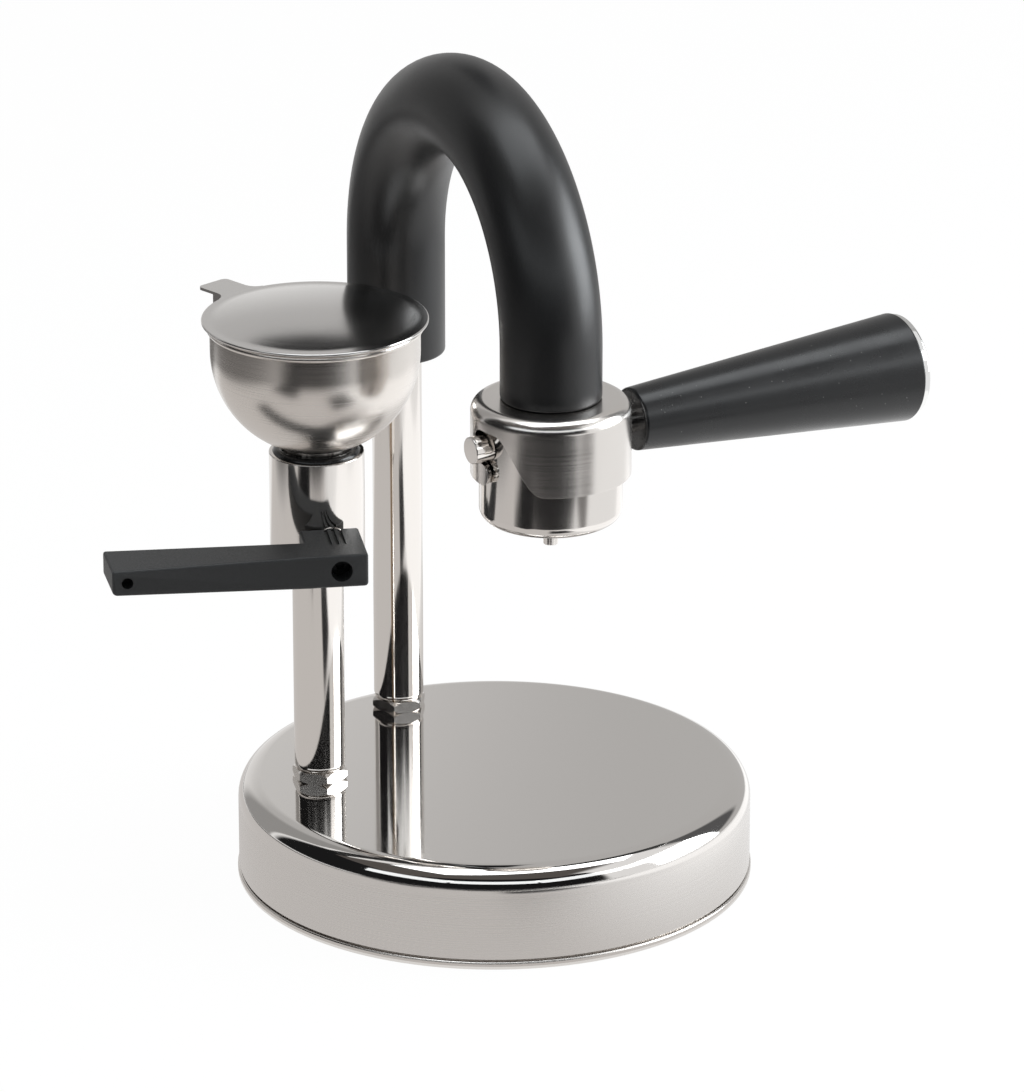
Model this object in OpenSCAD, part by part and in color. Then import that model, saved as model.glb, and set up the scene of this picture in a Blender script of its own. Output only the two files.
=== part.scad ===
// Stovetop espresso maker: a flat boiler, a swan neck that carries the brew group over the cup,
// and a filling post with a lever valve and a lidded funnel.
// Millimetres, +Z up. The origin is the centre of the boiler's underside, and the neck lies along Y.

/* [Boiler] */
// Outer diameter of the boiler
base_d = 140; // [125:1:170]
// Height of the boiler, from the hob to its top face
base_h = 28; // [24:0.5:40]
// Radius of the drawn top edge
base_edge_r = 6.4; // [3:0.1:9]
// Sheet thickness of the drawn shell
base_wall = 1.5; // [1:0.1:2.5]
// Thickness of the base plate
plate_t = 2.2; // [1.5:0.1:4]
// How far the base plate's rim stands out past the shell
plate_lip = 0.4; // [0.2:0.1:1]
// Open seam between the shell and the base plate
seam_gap = 0.5; // [0.3:0.1:1]
// Height of the base plate's upstand inside the shell
upstand_h = 5; // [3:0.5:10]
// Wall of that upstand
upstand_wall = 1.2; // [0.8:0.1:2.5]

/* [Posts] */
// Outer diameter of the riser tube and of the filling tube
tube_d = 13.8; // [12:0.1:16]
// Wall of both tubes
tube_wall = 1; // [0.7:0.1:1.5]
// Distance from the boiler's edge to the riser tube's axis
riser_inset = 15.8; // [14:0.1:24]
// Distance of the neck's plane from the boiler's axis, to the left
neck_offset = 4.8; // [0:0.1:10]
// Distance from the boiler's edge to the filling tube's axis
filler_inset = 22.3; // [18:0.1:28]
// Compass angle of the filling tube about the boiler's axis
filler_az = 160.5; // [150:0.5:175]
// Width across the flats of the hexagon at the foot of each post
hex_af = 13.4; // [12.6:0.1:16]
// Height of that hexagon
hex_h = 3.2; // [2.8:0.1:6]
// Angle at which the riser's hexagon stops when it is tight
riser_hex_turn = 57; // [0:1:60]
// Angle at which the filling tube's hexagon stops when it is tight
filler_hex_turn = 22; // [0:1:60]
// Radius of the rounded lower end of each tube
tube_edge_r = 1.6; // [1:0.1:3]
// How much narrower each tube is where it meets its hexagon, on the radius
neck_in = 0.7; // [0.3:0.1:0.9]
// How far each fitting reaches up into its tube
spigot_h = 6; // [4:0.5:12]
// Diameter of the fittings' threaded shanks
shank_d = 9; // [8:0.1:10]
// Bore of the fittings
fitting_bore = 6; // [4:0.1:6.5]
// Width across the flats of the lock nuts inside the boiler
locknut_af = 14; // [12:0.1:18]
// Height of the lock nuts
locknut_h = 4; // [3:0.1:6]
// How far the shank reaches past its lock nut
shank_past = 1.5; // [0.5:0.1:3]
// Thickness of the sealing washers under the lock nuts
washer_t = 1; // [0.6:0.1:2]
// Outer diameter of the sealing washers
washer_d = 16; // [15:0.5:20]
// Wall of the dip tube under the riser
dip_wall = 0.8; // [0.5:0.1:1.2]
// Gap between the dip tube's end and the base plate
dip_gap = 2.5; // [1.5:0.1:5]

/* [Swan neck] */
// Straight height of the riser, from the boiler's top to the start of the bend
riser_h = 137.4; // [120:0.1:160]
// Distance between the riser's axis and the brew group's axis
neck_span = 100.9; // [90:0.1:115]
// Straight drop from the bend's end to the top of the brew group
drop_h = 13.4; // [8:0.1:25]
// Outer diameter of the rubber grip over the neck
grip_d = 26.8; // [22:0.1:32]
// Straight length of the grip on the riser, below the bend
grip_leg = 32.4; // [15:0.1:50]

/* [Brew group] */
// Outer diameter of the brew group's skirt
group_d = 42.2; // [38:0.1:50]
// Height of the brew group
group_h = 20.4; // [18.5:0.1:26]
// Wall of the skirt
group_wall = 1.8; // [1.5:0.1:3]
// Thickness of the brew group's roof
roof_t = 2.5; // [1.5:0.1:3]
// Radius of the rounded edge of the roof
roof_edge_r = 3.5; // [2.5:0.1:6]
// Thickness of the rubber group seal
seal_t = 1.9; // [1.5:0.1:2.4]
// Width of the group seal's ring
seal_w = 4.4; // [3:0.1:6]
// Thickness of the shower screen
screen_t = 0.8; // [0.5:0.1:1.2]
// Diameter of the holes in the shower screen and in the basket
screen_hole_d = 1.2; // [0.8:0.1:1.5]
// Depth of the bayonet pins' axis under the brew group's top
pin_drop = 10.5; // [9.5:0.1:11]
// Diameter of the bayonet pins
pin_d = 7.2; // [5:0.1:7.4]
// How far the bayonet pin stands out past the skirt
pin_reach = 3.1; // [2:0.1:6]
// Clearance of the bayonet slots around the pins
slot_gap = 0.4; // [0.3:0.05:0.6]
// Extra height of the slots above the pins
slot_rise = 1.1; // [0.2:0.1:1.5]
// Angle from a locked pin to the end of the hook that carries it
hook_turn = 9; // [8:0.5:12]
// Angle from a locked pin to the top of the slot's lead-in curve
ramp_from = 14.5; // [14:0.5:20]
// Angle from a locked pin to the bottom of that curve
ramp_to = 54.5; // [48:0.5:62]

/* [Filter holder] */
// Radial gap between the filter holder's cup and the skirt
cup_gap = 0.4; // [0.3:0.05:0.8]
// Height of the cup
cup_h = 28.1; // [22:0.1:34]
// Wall of the cup
cup_wall = 1.2; // [0.8:0.1:1.6]
// Radius of the cup's rounded bottom edge
cup_edge_r = 3.5; // [2.5:0.1:9]
// Gap between the basket's rim and the group seal
seal_gap = 0.3; // [0.2:0.05:0.5]
// Radial gap between the basket and the cup
basket_gap = 0.4; // [0.3:0.05:0.8]
// Wall of the filter basket
basket_wall = 0.5; // [0.4:0.05:0.8]
// Depth of the filter basket
basket_h = 16; // [12:0.5:19]
// Diameter of the pins' and the stud's shanks where they pass the cup's wall
rivet_d = 4.8; // [4:0.1:4.9]
// Outer diameter of the spout
spout_d = 3.9; // [3:0.1:6]
// Bore of the spout
spout_bore = 2.4; // [1.5:0.1:2.6]
// Length of the spout below the cup
spout_drop = 7.4; // [5:0.1:15]
// Diameter of the spout's collar inside the cup
collar_d = 7.5; // [7:0.1:10]
// Thickness of that collar
collar_t = 1; // [0.6:0.1:2]
// Compass angle of the handle
handle_az = 5.5; // [-10:0.5:20]
// Gap between the skirt and the handle's narrow end
handle_gap = 3.2; // [2:0.1:6]
// Length of the handle
handle_l = 83.2; // [70:0.1:110]
// Diameter of the handle's narrow end
handle_d1 = 16.8; // [14:0.1:20]
// Diameter of the handle's wide end
handle_d2 = 29.4; // [24:0.1:36]
// Radius of the rounded edge of the narrow end
handle_edge1_r = 1; // [0.5:0.1:2]
// Radius of the rounded edge of the wide end
handle_edge2_r = 0.6; // [0.4:0.1:1.6]
// Diameter of the stud inside the handle
stud_d = 6; // [4:0.1:6.4]
// Length of the stud inside the handle
stud_l = 35; // [20:0.5:45]
// Diameter of the end cap
cap_d = 28.4; // [20:0.1:29]
// Height of the end cap's edge
cap_t = 1.8; // [1.2:0.1:3]
// Radius of that edge's rounding
cap_edge_r = 0.7; // [0.3:0.1:1]
// Rise of the end cap's dome
cap_rise = 1.2; // [0.8:0.1:3]
// Diameter of the spigot that holds the end cap
cap_spigot_d = 8; // [6:0.1:12]
// How deep that spigot goes into the handle
cap_inset = 5; // [3:0.1:10]

/* [Filling valve] */
// Height of the filling tube, from the boiler's top to the valve housing
filler_h = 58.8; // [50:0.1:70]
// Outer diameter of the valve housing
housing_d = 25.6; // [25:0.1:30]
// Wall of the valve housing
housing_wall = 1; // [0.7:0.1:1.4]
// Height of the valve housing
housing_h = 35.9; // [35:0.1:42]
// Height of the housing's tapered bottom
cone_h = 4.6; // [3.5:0.1:6]
// Length of filling tube that is welded into the housing
weld_h = 1.6; // [1:0.1:2.2]
// Thickness of the valve seat's flange
seat_t = 1.5; // [1:0.1:2]
// Bore of the valve seat
seat_bore = 5.6; // [3:0.1:6]
// Length of the seat's spigot inside the filling tube
seat_spigot_h = 5; // [3:0.1:8]
// Gap under the plug's seal at rest
plug_gap = 0.1; // [0.05:0.05:0.2]
// Thickness of the plug's rubber seal
plug_seal_t = 1.5; // [1:0.1:2]
// Diameter of the valve stem
stem_d = 8.4; // [8.2:0.1:9]
// Diameter of the stem's upper guide
guide_d = 4; // [3:0.1:4.4]
// Running clearance of the stem's guide and of the spindle, on the radius
run_gap = 0.06; // [0.03:0.01:0.09]
// Thickness of the spring's retainer plate
retainer_t = 1.5; // [1:0.1:2]
// Diameter of the flow holes in the retainer plate
flow_d = 5; // [3:0.1:5.5]
// Wire diameter of the valve spring
spring_wire = 0.8; // [0.6:0.05:0.9]
// Turns of the valve spring
spring_turns = 4; // [3:0.5:4.5]

/* [Lever] */
// Height of the spindle above the bottom of the valve housing
spindle_h = 13.65; // [13.2:0.05:15]
// Compass angle in which the spindle points
spindle_az = 254.5; // [245:0.5:265]
// Distance of the spindle's axis from the tube's axis, to the right
spindle_side = 2.2; // [1.8:0.1:2.8]
// Diameter of the spindle
spindle_d = 5; // [4:0.1:5.6]
// Outer diameter of the spindle's bush
bush_d = 9; // [8.8:0.1:10]
// How far the bush stands out of the housing
bush_out = 0.2; // [0.1:0.05:0.4]
// Section of the spindle's sealing ring
oring_d = 1.4; // [1:0.1:1.6]
// Radius of the crank
crank_r = 4; // [3.5:0.1:4.3]
// Diameter of the crank pin
crank_pin_d = 2.5; // [2:0.1:2.6]
// Clearance of the crank pin in the stem's slot
crank_gap = 0.3; // [0.25:0.05:0.4]
// Thickness of the crank's web
web_t = 2; // [1.5:0.1:2.2]
// Angle through which the lever lifts
lever_turn = 50; // [30:1:55]
// Gap between the lever's hub and the housing
hub_gap = 0.6; // [0.5:0.1:1]
// Depth of the hub along the spindle
hub_depth = 20.4; // [18:0.1:26]
// Height of the hub
hub_height = 9.1; // [8:0.1:12]
// Distance from the spindle to the hub's blunt end
hub_back = 7.1; // [6:0.1:10]
// Distance from the spindle to the inner side of the arm's bend
hub_front = 8.8; // [7:0.1:12]
// Distance from the spindle to the lever's tip
lever_l = 61.8; // [45:0.1:80]
// Width of the arm where it leaves the hub
arm_root_w = 11.2; // [9:0.1:13]
// Width of the arm at its tip
arm_tip_w = 16.2; // [10:0.1:18]
// Height of the arm at its tip
arm_tip_h = 6.9; // [5:0.1:8]
// How far the arm's end slants back across its width
arm_slant = 0.9; // [0:0.1:4]
// Diameter of the lever screw's counterbore
screw_recess_d = 5.7; // [5:0.1:6]
// Depth of that counterbore
screw_recess_h = 7; // [5:0.1:9]
// Diameter of the lever screw
screw_d = 3; // [2:0.1:3.2]
// Diameter of the lever screw's head
screw_head_d = 5.3; // [4.4:0.1:5.4]
// Height of the lever screw's head
screw_head_h = 2.4; // [1.5:0.1:3]
// How deep the lever screw goes into the spindle
screw_grip = 7; // [4:0.1:9]
// How deep the spindle goes into the hub
spindle_in = 11; // [8:0.1:11.5]
// Diameter of the hanging hole at the lever's tip
tip_hole_d = 3.1; // [2:0.1:4]
// Distance of that hole from the tip
tip_hole_in = 4.9; // [3.6:0.1:8]
// Depth of that hole
tip_hole_h = 5; // [2:0.1:8]

/* [Funnel] */
// Outer diameter of the funnel bowl
bowl_d = 56.2; // [50:0.1:64]
// Wall of the funnel bowl
bowl_wall = 0.8; // [0.6:0.1:1.2]
// Height of the bowl's centre above the valve housing
bowl_lift = 28.5; // [28.3:0.1:33]
// Height of the bowl's straight wall above its round bottom
bowl_wall_h = 7.7; // [5:0.1:15]
// Thickness of the rolled bead at the bowl's rim
bead_d = 1.8; // [1.4:0.1:2.4]
// Width of the rubber ring that holds the funnel in the housing
ring_w = 2.8; // [2:0.1:3.4]
// Depth of that ring in the housing
ring_h = 9.2; // [6:0.1:9.4]
// How far the ring's lip stands out of the housing
ring_lip = 1.1; // [0.6:0.1:1.2]
// How far the lid's rim stands out past the bowl
lid_over = 2.2; // [1.5:0.1:3]
// Sheet thickness of the lid
lid_t = 0.8; // [0.6:0.1:1.2]
// Width of the lid's flat rim
lid_rim_w = 2.8; // [2:0.1:6]
// Rise of the lid's dome
lid_rise = 3; // [2:0.1:8]
// Gap between the lid and the bowl's rim
lid_gap = 0.4; // [0.3:0.05:0.6]
// Compass angle of the lid's hinge and thumb tab
hinge_az = 110; // [95:1:125]
// Distance from the lid's edge to the hinge pin's axis
hinge_out = 2.6; // [2.6:0.1:6]
// Depth of the hinge pin's axis under the lid
hinge_drop = 3.2; // [2.8:0.1:3.6]
// Diameter of the hinge pin
hinge_pin_d = 1.6; // [1.2:0.1:1.8]
// Outer diameter of the bracket's loop around the pin
loop_d = 3.4; // [3:0.1:4]
// Outer diameter of the lid's ears around the pin
ear_d = 4; // [3.4:0.1:4.4]
// Gap between the ears and the loop
ear_gap = 0.3; // [0.2:0.05:0.5]
// Thickness of the bracket's strap and of its plate on the bowl
bracket_t = 1; // [0.8:0.1:1.4]
// Height of the bracket's plate on the bowl
bracket_h = 5; // [3:0.1:8]
// Width of the thumb tab
tab_w = 10; // [8:0.1:14]
// How far the thumb tab reaches past the lid's edge
tab_l = 10.7; // [9:0.1:16]
// Radius of the thumb tab's corners
tab_r = 1.5; // [0.5:0.1:3]
// Radius of the fillets between the thumb tab and the lid's rim
tab_fillet_r = 4; // [2:0.1:4.5]

/* [Hidden] */
$fn = 96;

// Overlap that lets a cut run out past a face
cut = 1;

// Boiler and posts
base_r = base_d / 2;
tube_r = tube_d / 2;
bore_r = tube_r - tube_wall;
riser_x = -neck_offset;
riser_y = base_r - riser_inset;
filler_r = base_r - filler_inset;
filler_x = filler_r * cos(filler_az);
filler_y = filler_r * sin(filler_az);
shank_gap = 0.2;
shank_h = base_wall + washer_t + locknut_h + shank_past;
tube_z = base_h + hex_h;
dip_r = fitting_bore / 2;

// Swan neck
bend_z = base_h + riser_h;
bend_r = neck_span / 2;
group_x = riser_x;
group_y = riser_y - neck_span;
group_top = bend_z - drop_h;

// Brew group, from the roof down
group_r = group_d / 2;
skirt_r = group_r - group_wall;
group_z = group_top - group_h;
ceiling_z = group_top - roof_t;
seal_z = ceiling_z - seal_t;
screen_r = skirt_r - seal_w;
pin_z = group_top - pin_drop;
pin_r = pin_d / 2;
slot_r = pin_r + slot_gap;
slot_top = pin_z + slot_r + slot_rise;

// Filter holder
cup_r = skirt_r - cup_gap;
cup_in_r = cup_r - cup_wall;
cup_rim_z = seal_z - seal_gap - basket_wall;
cup_z = cup_rim_z - cup_h;
basket_r = cup_in_r - basket_gap;
basket_z = cup_rim_z + basket_wall - basket_h;
handle_at = group_r + handle_gap;
pin_tip_chamfer = 0.2;

// Filling valve, from the boiler up
housing_r = housing_d / 2;
housing_in_r = housing_r - housing_wall;
housing_z = base_h + filler_h;
housing_top = housing_z + housing_h;
seat_z = housing_z + weld_h;
plug_z = seat_z + seat_t + plug_gap;
stem_z = plug_z + plug_seal_t;
stem_r = stem_d / 2;
spindle_z = housing_z + spindle_h;
crank_pin_r = crank_pin_d / 2;
crank_slot_r = crank_pin_r + crank_gap;
crank_rest = -lever_turn / 2;
crank_pin_z = spindle_z + crank_r * sin(crank_rest);
stem_lift = 2 * crank_r * sin(lever_turn / 2);
stem_wall = 2;
stem_top = crank_pin_z + crank_slot_r + stem_wall;
ring_z = housing_top - ring_h;
spigot_clear = 0.5;
spigot_z = ring_z - spigot_clear;
retainer_gap = 1;
retainer_z = spigot_z - retainer_gap - retainer_t;
guide_top = retainer_z + retainer_t + retainer_gap;
flow_count = 4;
flow_at = (guide_d / 2 + housing_in_r) / 2;
spring_r = guide_d / 2 + run_gap + spring_wire;

// Lever
web_gap = 0.4;
web_z = stem_r + web_gap;
web_r = spindle_d / 2;
web_rim = 0.6;
web_pin_r = crank_pin_r + web_rim;
bush_z = web_z + web_t + web_gap;
bush_end = housing_r + bush_out;
spindle_r = spindle_d / 2;
hub_z = housing_r + hub_gap;
hub_end = hub_z + hub_depth;
spindle_end = hub_z + spindle_in;
screw_seat = hub_end - screw_recess_h;
screw_gap = 0.1;

// Funnel
bowl_r = bowl_d / 2;
bowl_in_r = bowl_r - bowl_wall;
bowl_z = housing_top + bowl_lift;
rim_z = bowl_z + bowl_wall_h;
bead_r = bead_d / 2;
spigot_r = housing_in_r - ring_w;
lid_r = bowl_r + lid_over;
lid_z = rim_z + lid_gap;
dome_r = lid_r - lid_rim_w;
dome_sphere_r = (dome_r * dome_r + lid_rise * lid_rise) / (2 * lid_rise);
hinge_at = lid_r + hinge_out;
hinge_z = lid_z - hinge_drop;
ear_y = tab_w / 2 - lid_t;
loop_l = 2 * (ear_y - ear_gap);
pin_l = tab_w + 2 * ear_gap;
pin_head_t = 0.6;

steel = "#c9c7c4";
black_rubber = "#242427";
black_plastic = "#2f3032";
brass = "#c2a25a";

// A pipe between two heights
module pipe(r_out, r_in, low, high) {
    rotate_extrude() polygon([[r_in, low], [r_out, low], [r_out, high], [r_in, high]]);
}

// Half outline of a closed cap whose upper outer edge is rounded
module cap_outline(r, h, edge) {
    union() {
        square([r, h - edge]);
        square([r - edge, h]);
        translate([r - edge, h - edge]) circle(r = edge);
    }
}

// A hexagon nut blank, chamfered on both faces nearly to its flats
module hexagon(af, z, h) {
    corner_r = af / 2 / cos(30);
    chamfer = 0.9 * (corner_r - af / 2);
    translate([0, 0, z]) intersection() {
        cylinder(r = corner_r, h = h, $fn = 6);
        rotate_extrude() polygon([
            [0, 0], [corner_r - chamfer, 0], [corner_r, chamfer], [corner_r, h - chamfer],
            [corner_r - chamfer, h], [0, h]]);
    }
}

module at_riser() { translate([riser_x, riser_y, 0]) children(); }
module at_filler() { translate([filler_x, filler_y, 0]) children(); }
module at_group() { translate([group_x, group_y, 0]) children(); }

// Local +Z runs out of the brew group along the handle
module at_handle() {
    translate([group_x, group_y, pin_z]) rotate([0, 0, handle_az]) rotate([0, 90, 0]) children();
}

// Local +X runs along the lever's arm, +Y out along the spindle and +Z up, from the spindle's axis
module at_lever() {
    translate([filler_x, filler_y, spindle_z]) rotate([0, 0, spindle_az - 90])
        translate([-spindle_side, 0, 0]) children();
}

// Local +Z runs out along the spindle, +X along the lever's arm
module at_spindle() { at_lever() rotate([-90, 0, 0]) children(); }

// Local +X runs from the funnel's axis out over the hinge, at the hinge pin's height
module at_hinge() { translate([filler_x, filler_y, hinge_z]) rotate([0, 0, hinge_az]) children(); }

// Boiler: a deep-drawn shell with a hole for each post
module boiler_shell() {
    foot_z = plate_t + seam_gap;
    color(steel) difference() {
        translate([0, 0, foot_z]) rotate_extrude() intersection() {
            square([base_r, base_h]);
            difference() {
                cap_outline(base_r, base_h - foot_z, base_edge_r);
                translate([0, -cut]) cap_outline(base_r - base_wall, base_h - foot_z - base_wall + cut,
                                                 base_edge_r - base_wall);
            }
        }
        at_riser() cylinder(d = shank_d + 2 * shank_gap, h = base_h + cut);
        at_filler() cylinder(d = shank_d + 2 * shank_gap, h = base_h + cut);
    }
}

// Flat base plate whose upstand is pressed into the shell
module boiler_base() {
    edge = 0.6;
    plate_r = base_r + plate_lip;
    upstand_r = base_r - base_wall;
    color(steel) union() {
        rotate_extrude() union() {
            translate([0, edge]) square([plate_r, plate_t - 2 * edge]);
            square([plate_r - edge, plate_t]);
            for (y = [edge, plate_t - edge]) translate([plate_r - edge, y]) circle(r = edge);
        }
        pipe(upstand_r, upstand_r - upstand_wall, plate_t - edge, plate_t + upstand_h);
    }
}

// Hexagon fitting: spigot up into a tube, threaded shank down through the shell
module fitting(turn) {
    color(steel) difference() {
        union() {
            rotate([0, 0, turn]) hexagon(hex_af, base_h, hex_h);
            translate([0, 0, base_h - shank_h]) cylinder(d = shank_d, h = shank_h + hex_h / 2);
            translate([0, 0, base_h + hex_h / 2]) cylinder(r = bore_r, h = hex_h / 2 + spigot_h);
        }
        translate([0, 0, base_h - shank_h - cut])
            cylinder(d = fitting_bore, h = shank_h + hex_h + spigot_h + 2 * cut);
    }
}

module washer() {
    top = base_h - base_wall;
    color(black_rubber) pipe(washer_d / 2, shank_d / 2 + shank_gap, top - washer_t, top);
}

module locknut() {
    nut_z = base_h - base_wall - washer_t - locknut_h;
    color(steel) difference() {
        translate([0, 0, nut_z]) mirror([0, 0, 1]) hexagon(locknut_af, -locknut_h, locknut_h);
        translate([0, 0, nut_z - cut]) cylinder(d = shank_d, h = locknut_h + 2 * cut);
    }
}

module riser_fitting() { at_riser() fitting(riser_hex_turn); }
module riser_washer() { at_riser() washer(); }
module riser_locknut() { at_riser() locknut(); }
module filler_fitting() { at_filler() fitting(filler_hex_turn); }
module filler_washer() { at_filler() washer(); }
module filler_locknut() { at_filler() locknut(); }

// Dip tube: takes the water from just above the base plate
module dip_tube() {
    dip_z = plate_t + dip_gap;
    color(steel) at_riser() pipe(dip_r, dip_r - dip_wall, dip_z, base_h);
}

// A tube standing on its hexagon, with its lower end rounded and drawn in
module post(top_z) {
    edge_z = tube_z + tube_edge_r;
    color(steel) rotate_extrude() union() {
        polygon([
            [bore_r, tube_z], [tube_r - neck_in, tube_z], [tube_r - neck_in, edge_z], [tube_r, edge_z],
            [tube_r, top_z], [bore_r, top_z]]);
        intersection() {
            translate([tube_r - tube_edge_r, edge_z]) circle(r = tube_edge_r);
            translate([bore_r, tube_z]) square([tube_wall, tube_edge_r]);
        }
    }
}

// Half ring of pipe over the bend, in the neck's plane
module bend(r_out, r_in) {
    translate([riser_x, riser_y - bend_r, bend_z]) rotate([90, 0, 90]) rotate_extrude(angle = 180)
        translate([bend_r, 0]) difference() {
            circle(r = r_out);
            circle(r = r_in);
        }
}

// Riser tube: up from the boiler, over the bend and down into the brew group
module riser_tube() {
    color(steel) union() {
        at_riser() post(bend_z);
        bend(tube_r, bore_r);
        at_group() pipe(tube_r, bore_r, ceiling_z, bend_z);
    }
}

// Rubber grip over the neck, from the riser to the brew group's roof
module neck_grip() {
    color(black_rubber) union() {
        at_riser() pipe(grip_d / 2, tube_r, bend_z - grip_leg, bend_z);
        bend(grip_d / 2, tube_r);
        at_group() pipe(grip_d / 2, tube_r, group_top, bend_z);
    }
}

// Bayonet slot, laid out flat: arc length along the skirt from the locked pin, and height.
// The pin sits in a round end over a hook, and the lead-in curve opens to the lower edge.
function along(turn) = group_r * turn * PI / 180;
function ramp_z(t) = slot_top - (slot_top - group_z) * (1 - cos(180 * t)) / 2;
slot_steps = 16;
hook_r = (pin_z - slot_r - group_z) / 2;
hook_s = along(hook_turn) - hook_r;
slot_outline = concat(
    [for (i = [0:slot_steps]) let (a = 90 + 90 * i / slot_steps)
        [slot_r * cos(a), slot_top - slot_r + slot_r * sin(a)]],
    [for (i = [0:slot_steps]) let (a = 180 + 90 * i / slot_steps) [slot_r * cos(a), pin_z + slot_r * sin(a)]],
    [for (i = [0:slot_steps]) let (a = 90 - 180 * i / slot_steps)
        [hook_s + hook_r * cos(a), group_z + hook_r + hook_r * sin(a)]],
    [[hook_s, group_z - cut], [along(ramp_to), group_z - cut]],
    [for (i = [0:slot_steps]) let (t = 1 - i / slot_steps)
        [along(ramp_from + (ramp_to - ramp_from) * t), ramp_z(t)]]);

// The slot cut straight through the skirt, square to its middle
module bayonet_slot() {
    middle = ramp_to / 2;
    rotate([0, 0, middle]) rotate([90, 0, 90]) linear_extrude(height = group_r + cut)
        polygon([for (p = slot_outline) [group_r * sin(p[0] / group_r * 180 / PI - middle), p[1]]]);
}

// Brew group: a turned cup over the filter holder, with two bayonet slots in its skirt
module group_head() {
    color(steel) at_group() difference() {
        translate([0, 0, group_z]) rotate_extrude() intersection() {
            square([group_r, group_h]);
            difference() {
                cap_outline(group_r, group_h, roof_edge_r);
                translate([0, -cut]) square([skirt_r, group_h - roof_t + cut]);
                translate([0, -cut]) square([tube_r, group_h + 2 * cut]);
            }
        }
        for (side = [0, 180]) rotate([0, 0, handle_az + side]) bayonet_slot();
    }
}

module group_seal() { color(black_rubber) at_group() pipe(skirt_r, screen_r, seal_z, ceiling_z); }

// A disc with rings of small holes
module perforated(r, t) {
    pitch = 3 * screen_hole_d;
    rings = floor((r - pitch) / pitch);
    difference() {
        cylinder(r = r, h = t);
        for (k = [0:rings], i = [0:max(6 * k - 1, 0)])
            rotate([0, 0, 360 * i / max(6 * k, 1)]) translate([k * pitch, 0, -cut])
                cylinder(d = screen_hole_d, h = t + 2 * cut);
    }
}

// Shower screen: snaps into the group seal
module shower_screen() {
    color(steel) at_group() translate([0, 0, seal_z + (seal_t - screen_t) / 2])
        perforated(screen_r, screen_t);
}

// Filter holder's cup, with a hole for the spout and one for each rivet
module filter_cup() {
    color(steel) difference() {
        at_group() translate([0, 0, cup_rim_z]) mirror([0, 0, 1]) rotate_extrude() intersection() {
            square([cup_r, cup_h]);
            difference() {
                cap_outline(cup_r, cup_h, cup_edge_r);
                translate([0, -cut]) cap_outline(cup_in_r, cup_h - cup_wall + cut, cup_edge_r - cup_wall);
            }
        }
        at_group() translate([0, 0, cup_z - cut]) cylinder(d = spout_d, h = cup_wall + 2 * cut);
        for (side = [0, 180]) at_handle() rotate([0, side, 0]) cylinder(d = rivet_d, h = cup_r + cut);
    }
}

// Filter basket: hangs by its flange on the cup's rim
module filter_basket() {
    basket_in_r = basket_r - basket_wall;
    color(steel) at_group() union() {
        translate([0, 0, basket_z]) perforated(basket_in_r, basket_wall);
        pipe(basket_r, basket_in_r, basket_z, basket_z + basket_h);
        pipe(cup_r, basket_in_r, cup_rim_z, cup_rim_z + basket_wall);
    }
}

module spout_tube() {
    collar_z = cup_z + cup_wall;
    color(steel) at_group() difference() {
        union() {
            translate([0, 0, cup_z - spout_drop]) cylinder(d = spout_d, h = spout_drop + cup_wall + collar_t);
            translate([0, 0, collar_z]) cylinder(d = collar_d, h = collar_t);
        }
        translate([0, 0, cup_z - spout_drop - cut])
            cylinder(d = spout_bore, h = spout_drop + cup_wall + collar_t + 2 * cut);
    }
}

// Bayonet pin, riveted through the cup's wall
module bayonet_pin() {
    pin_l = group_r + pin_reach - cup_r;
    color(steel) at_handle() rotate([0, 180, 0]) union() {
        translate([0, 0, cup_in_r]) cylinder(d = rivet_d, h = cup_wall + cut);
        translate([0, 0, cup_r]) cylinder(r = pin_r, h = pin_l - pin_tip_chamfer);
        translate([0, 0, cup_r + pin_l - pin_tip_chamfer])
            cylinder(r1 = pin_r, r2 = pin_r - pin_tip_chamfer, h = pin_tip_chamfer);
    }
}

// Stud: the second bayonet pin, which carries on into the handle
module handle_stud() {
    color(steel) at_handle() union() {
        translate([0, 0, cup_in_r]) cylinder(d = rivet_d, h = cup_wall + cut);
        translate([0, 0, cup_r]) cylinder(r = pin_r, h = handle_at - cup_r);
        translate([0, 0, handle_at - cut]) cylinder(d = stud_d, h = stud_l + cut);
    }
}

// Handle: a moulded cone, bored for the stud and for its end cap
module handle() {
    stud_clear = 1;
    r1 = handle_d1 / 2;
    r2 = handle_d2 / 2;
    color(black_plastic) at_handle() translate([0, 0, handle_at]) difference() {
        rotate_extrude() intersection() {
            square([r2, handle_l]);
            union() {
                polygon([
                    [0, 0], [r1 - handle_edge1_r, 0], [r1, handle_edge1_r],
                    [r2, handle_l - handle_edge2_r], [r2 - handle_edge2_r, handle_l], [0, handle_l]]);
                translate([r1 - handle_edge1_r, handle_edge1_r]) circle(r = handle_edge1_r);
                translate([r2 - handle_edge2_r, handle_l - handle_edge2_r]) circle(r = handle_edge2_r);
            }
        }
        translate([0, 0, -cut]) cylinder(d = stud_d, h = stud_l + stud_clear + cut);
        translate([0, 0, handle_l - cap_inset]) cylinder(d = cap_spigot_d, h = cap_inset + cut);
    }
}

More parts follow.
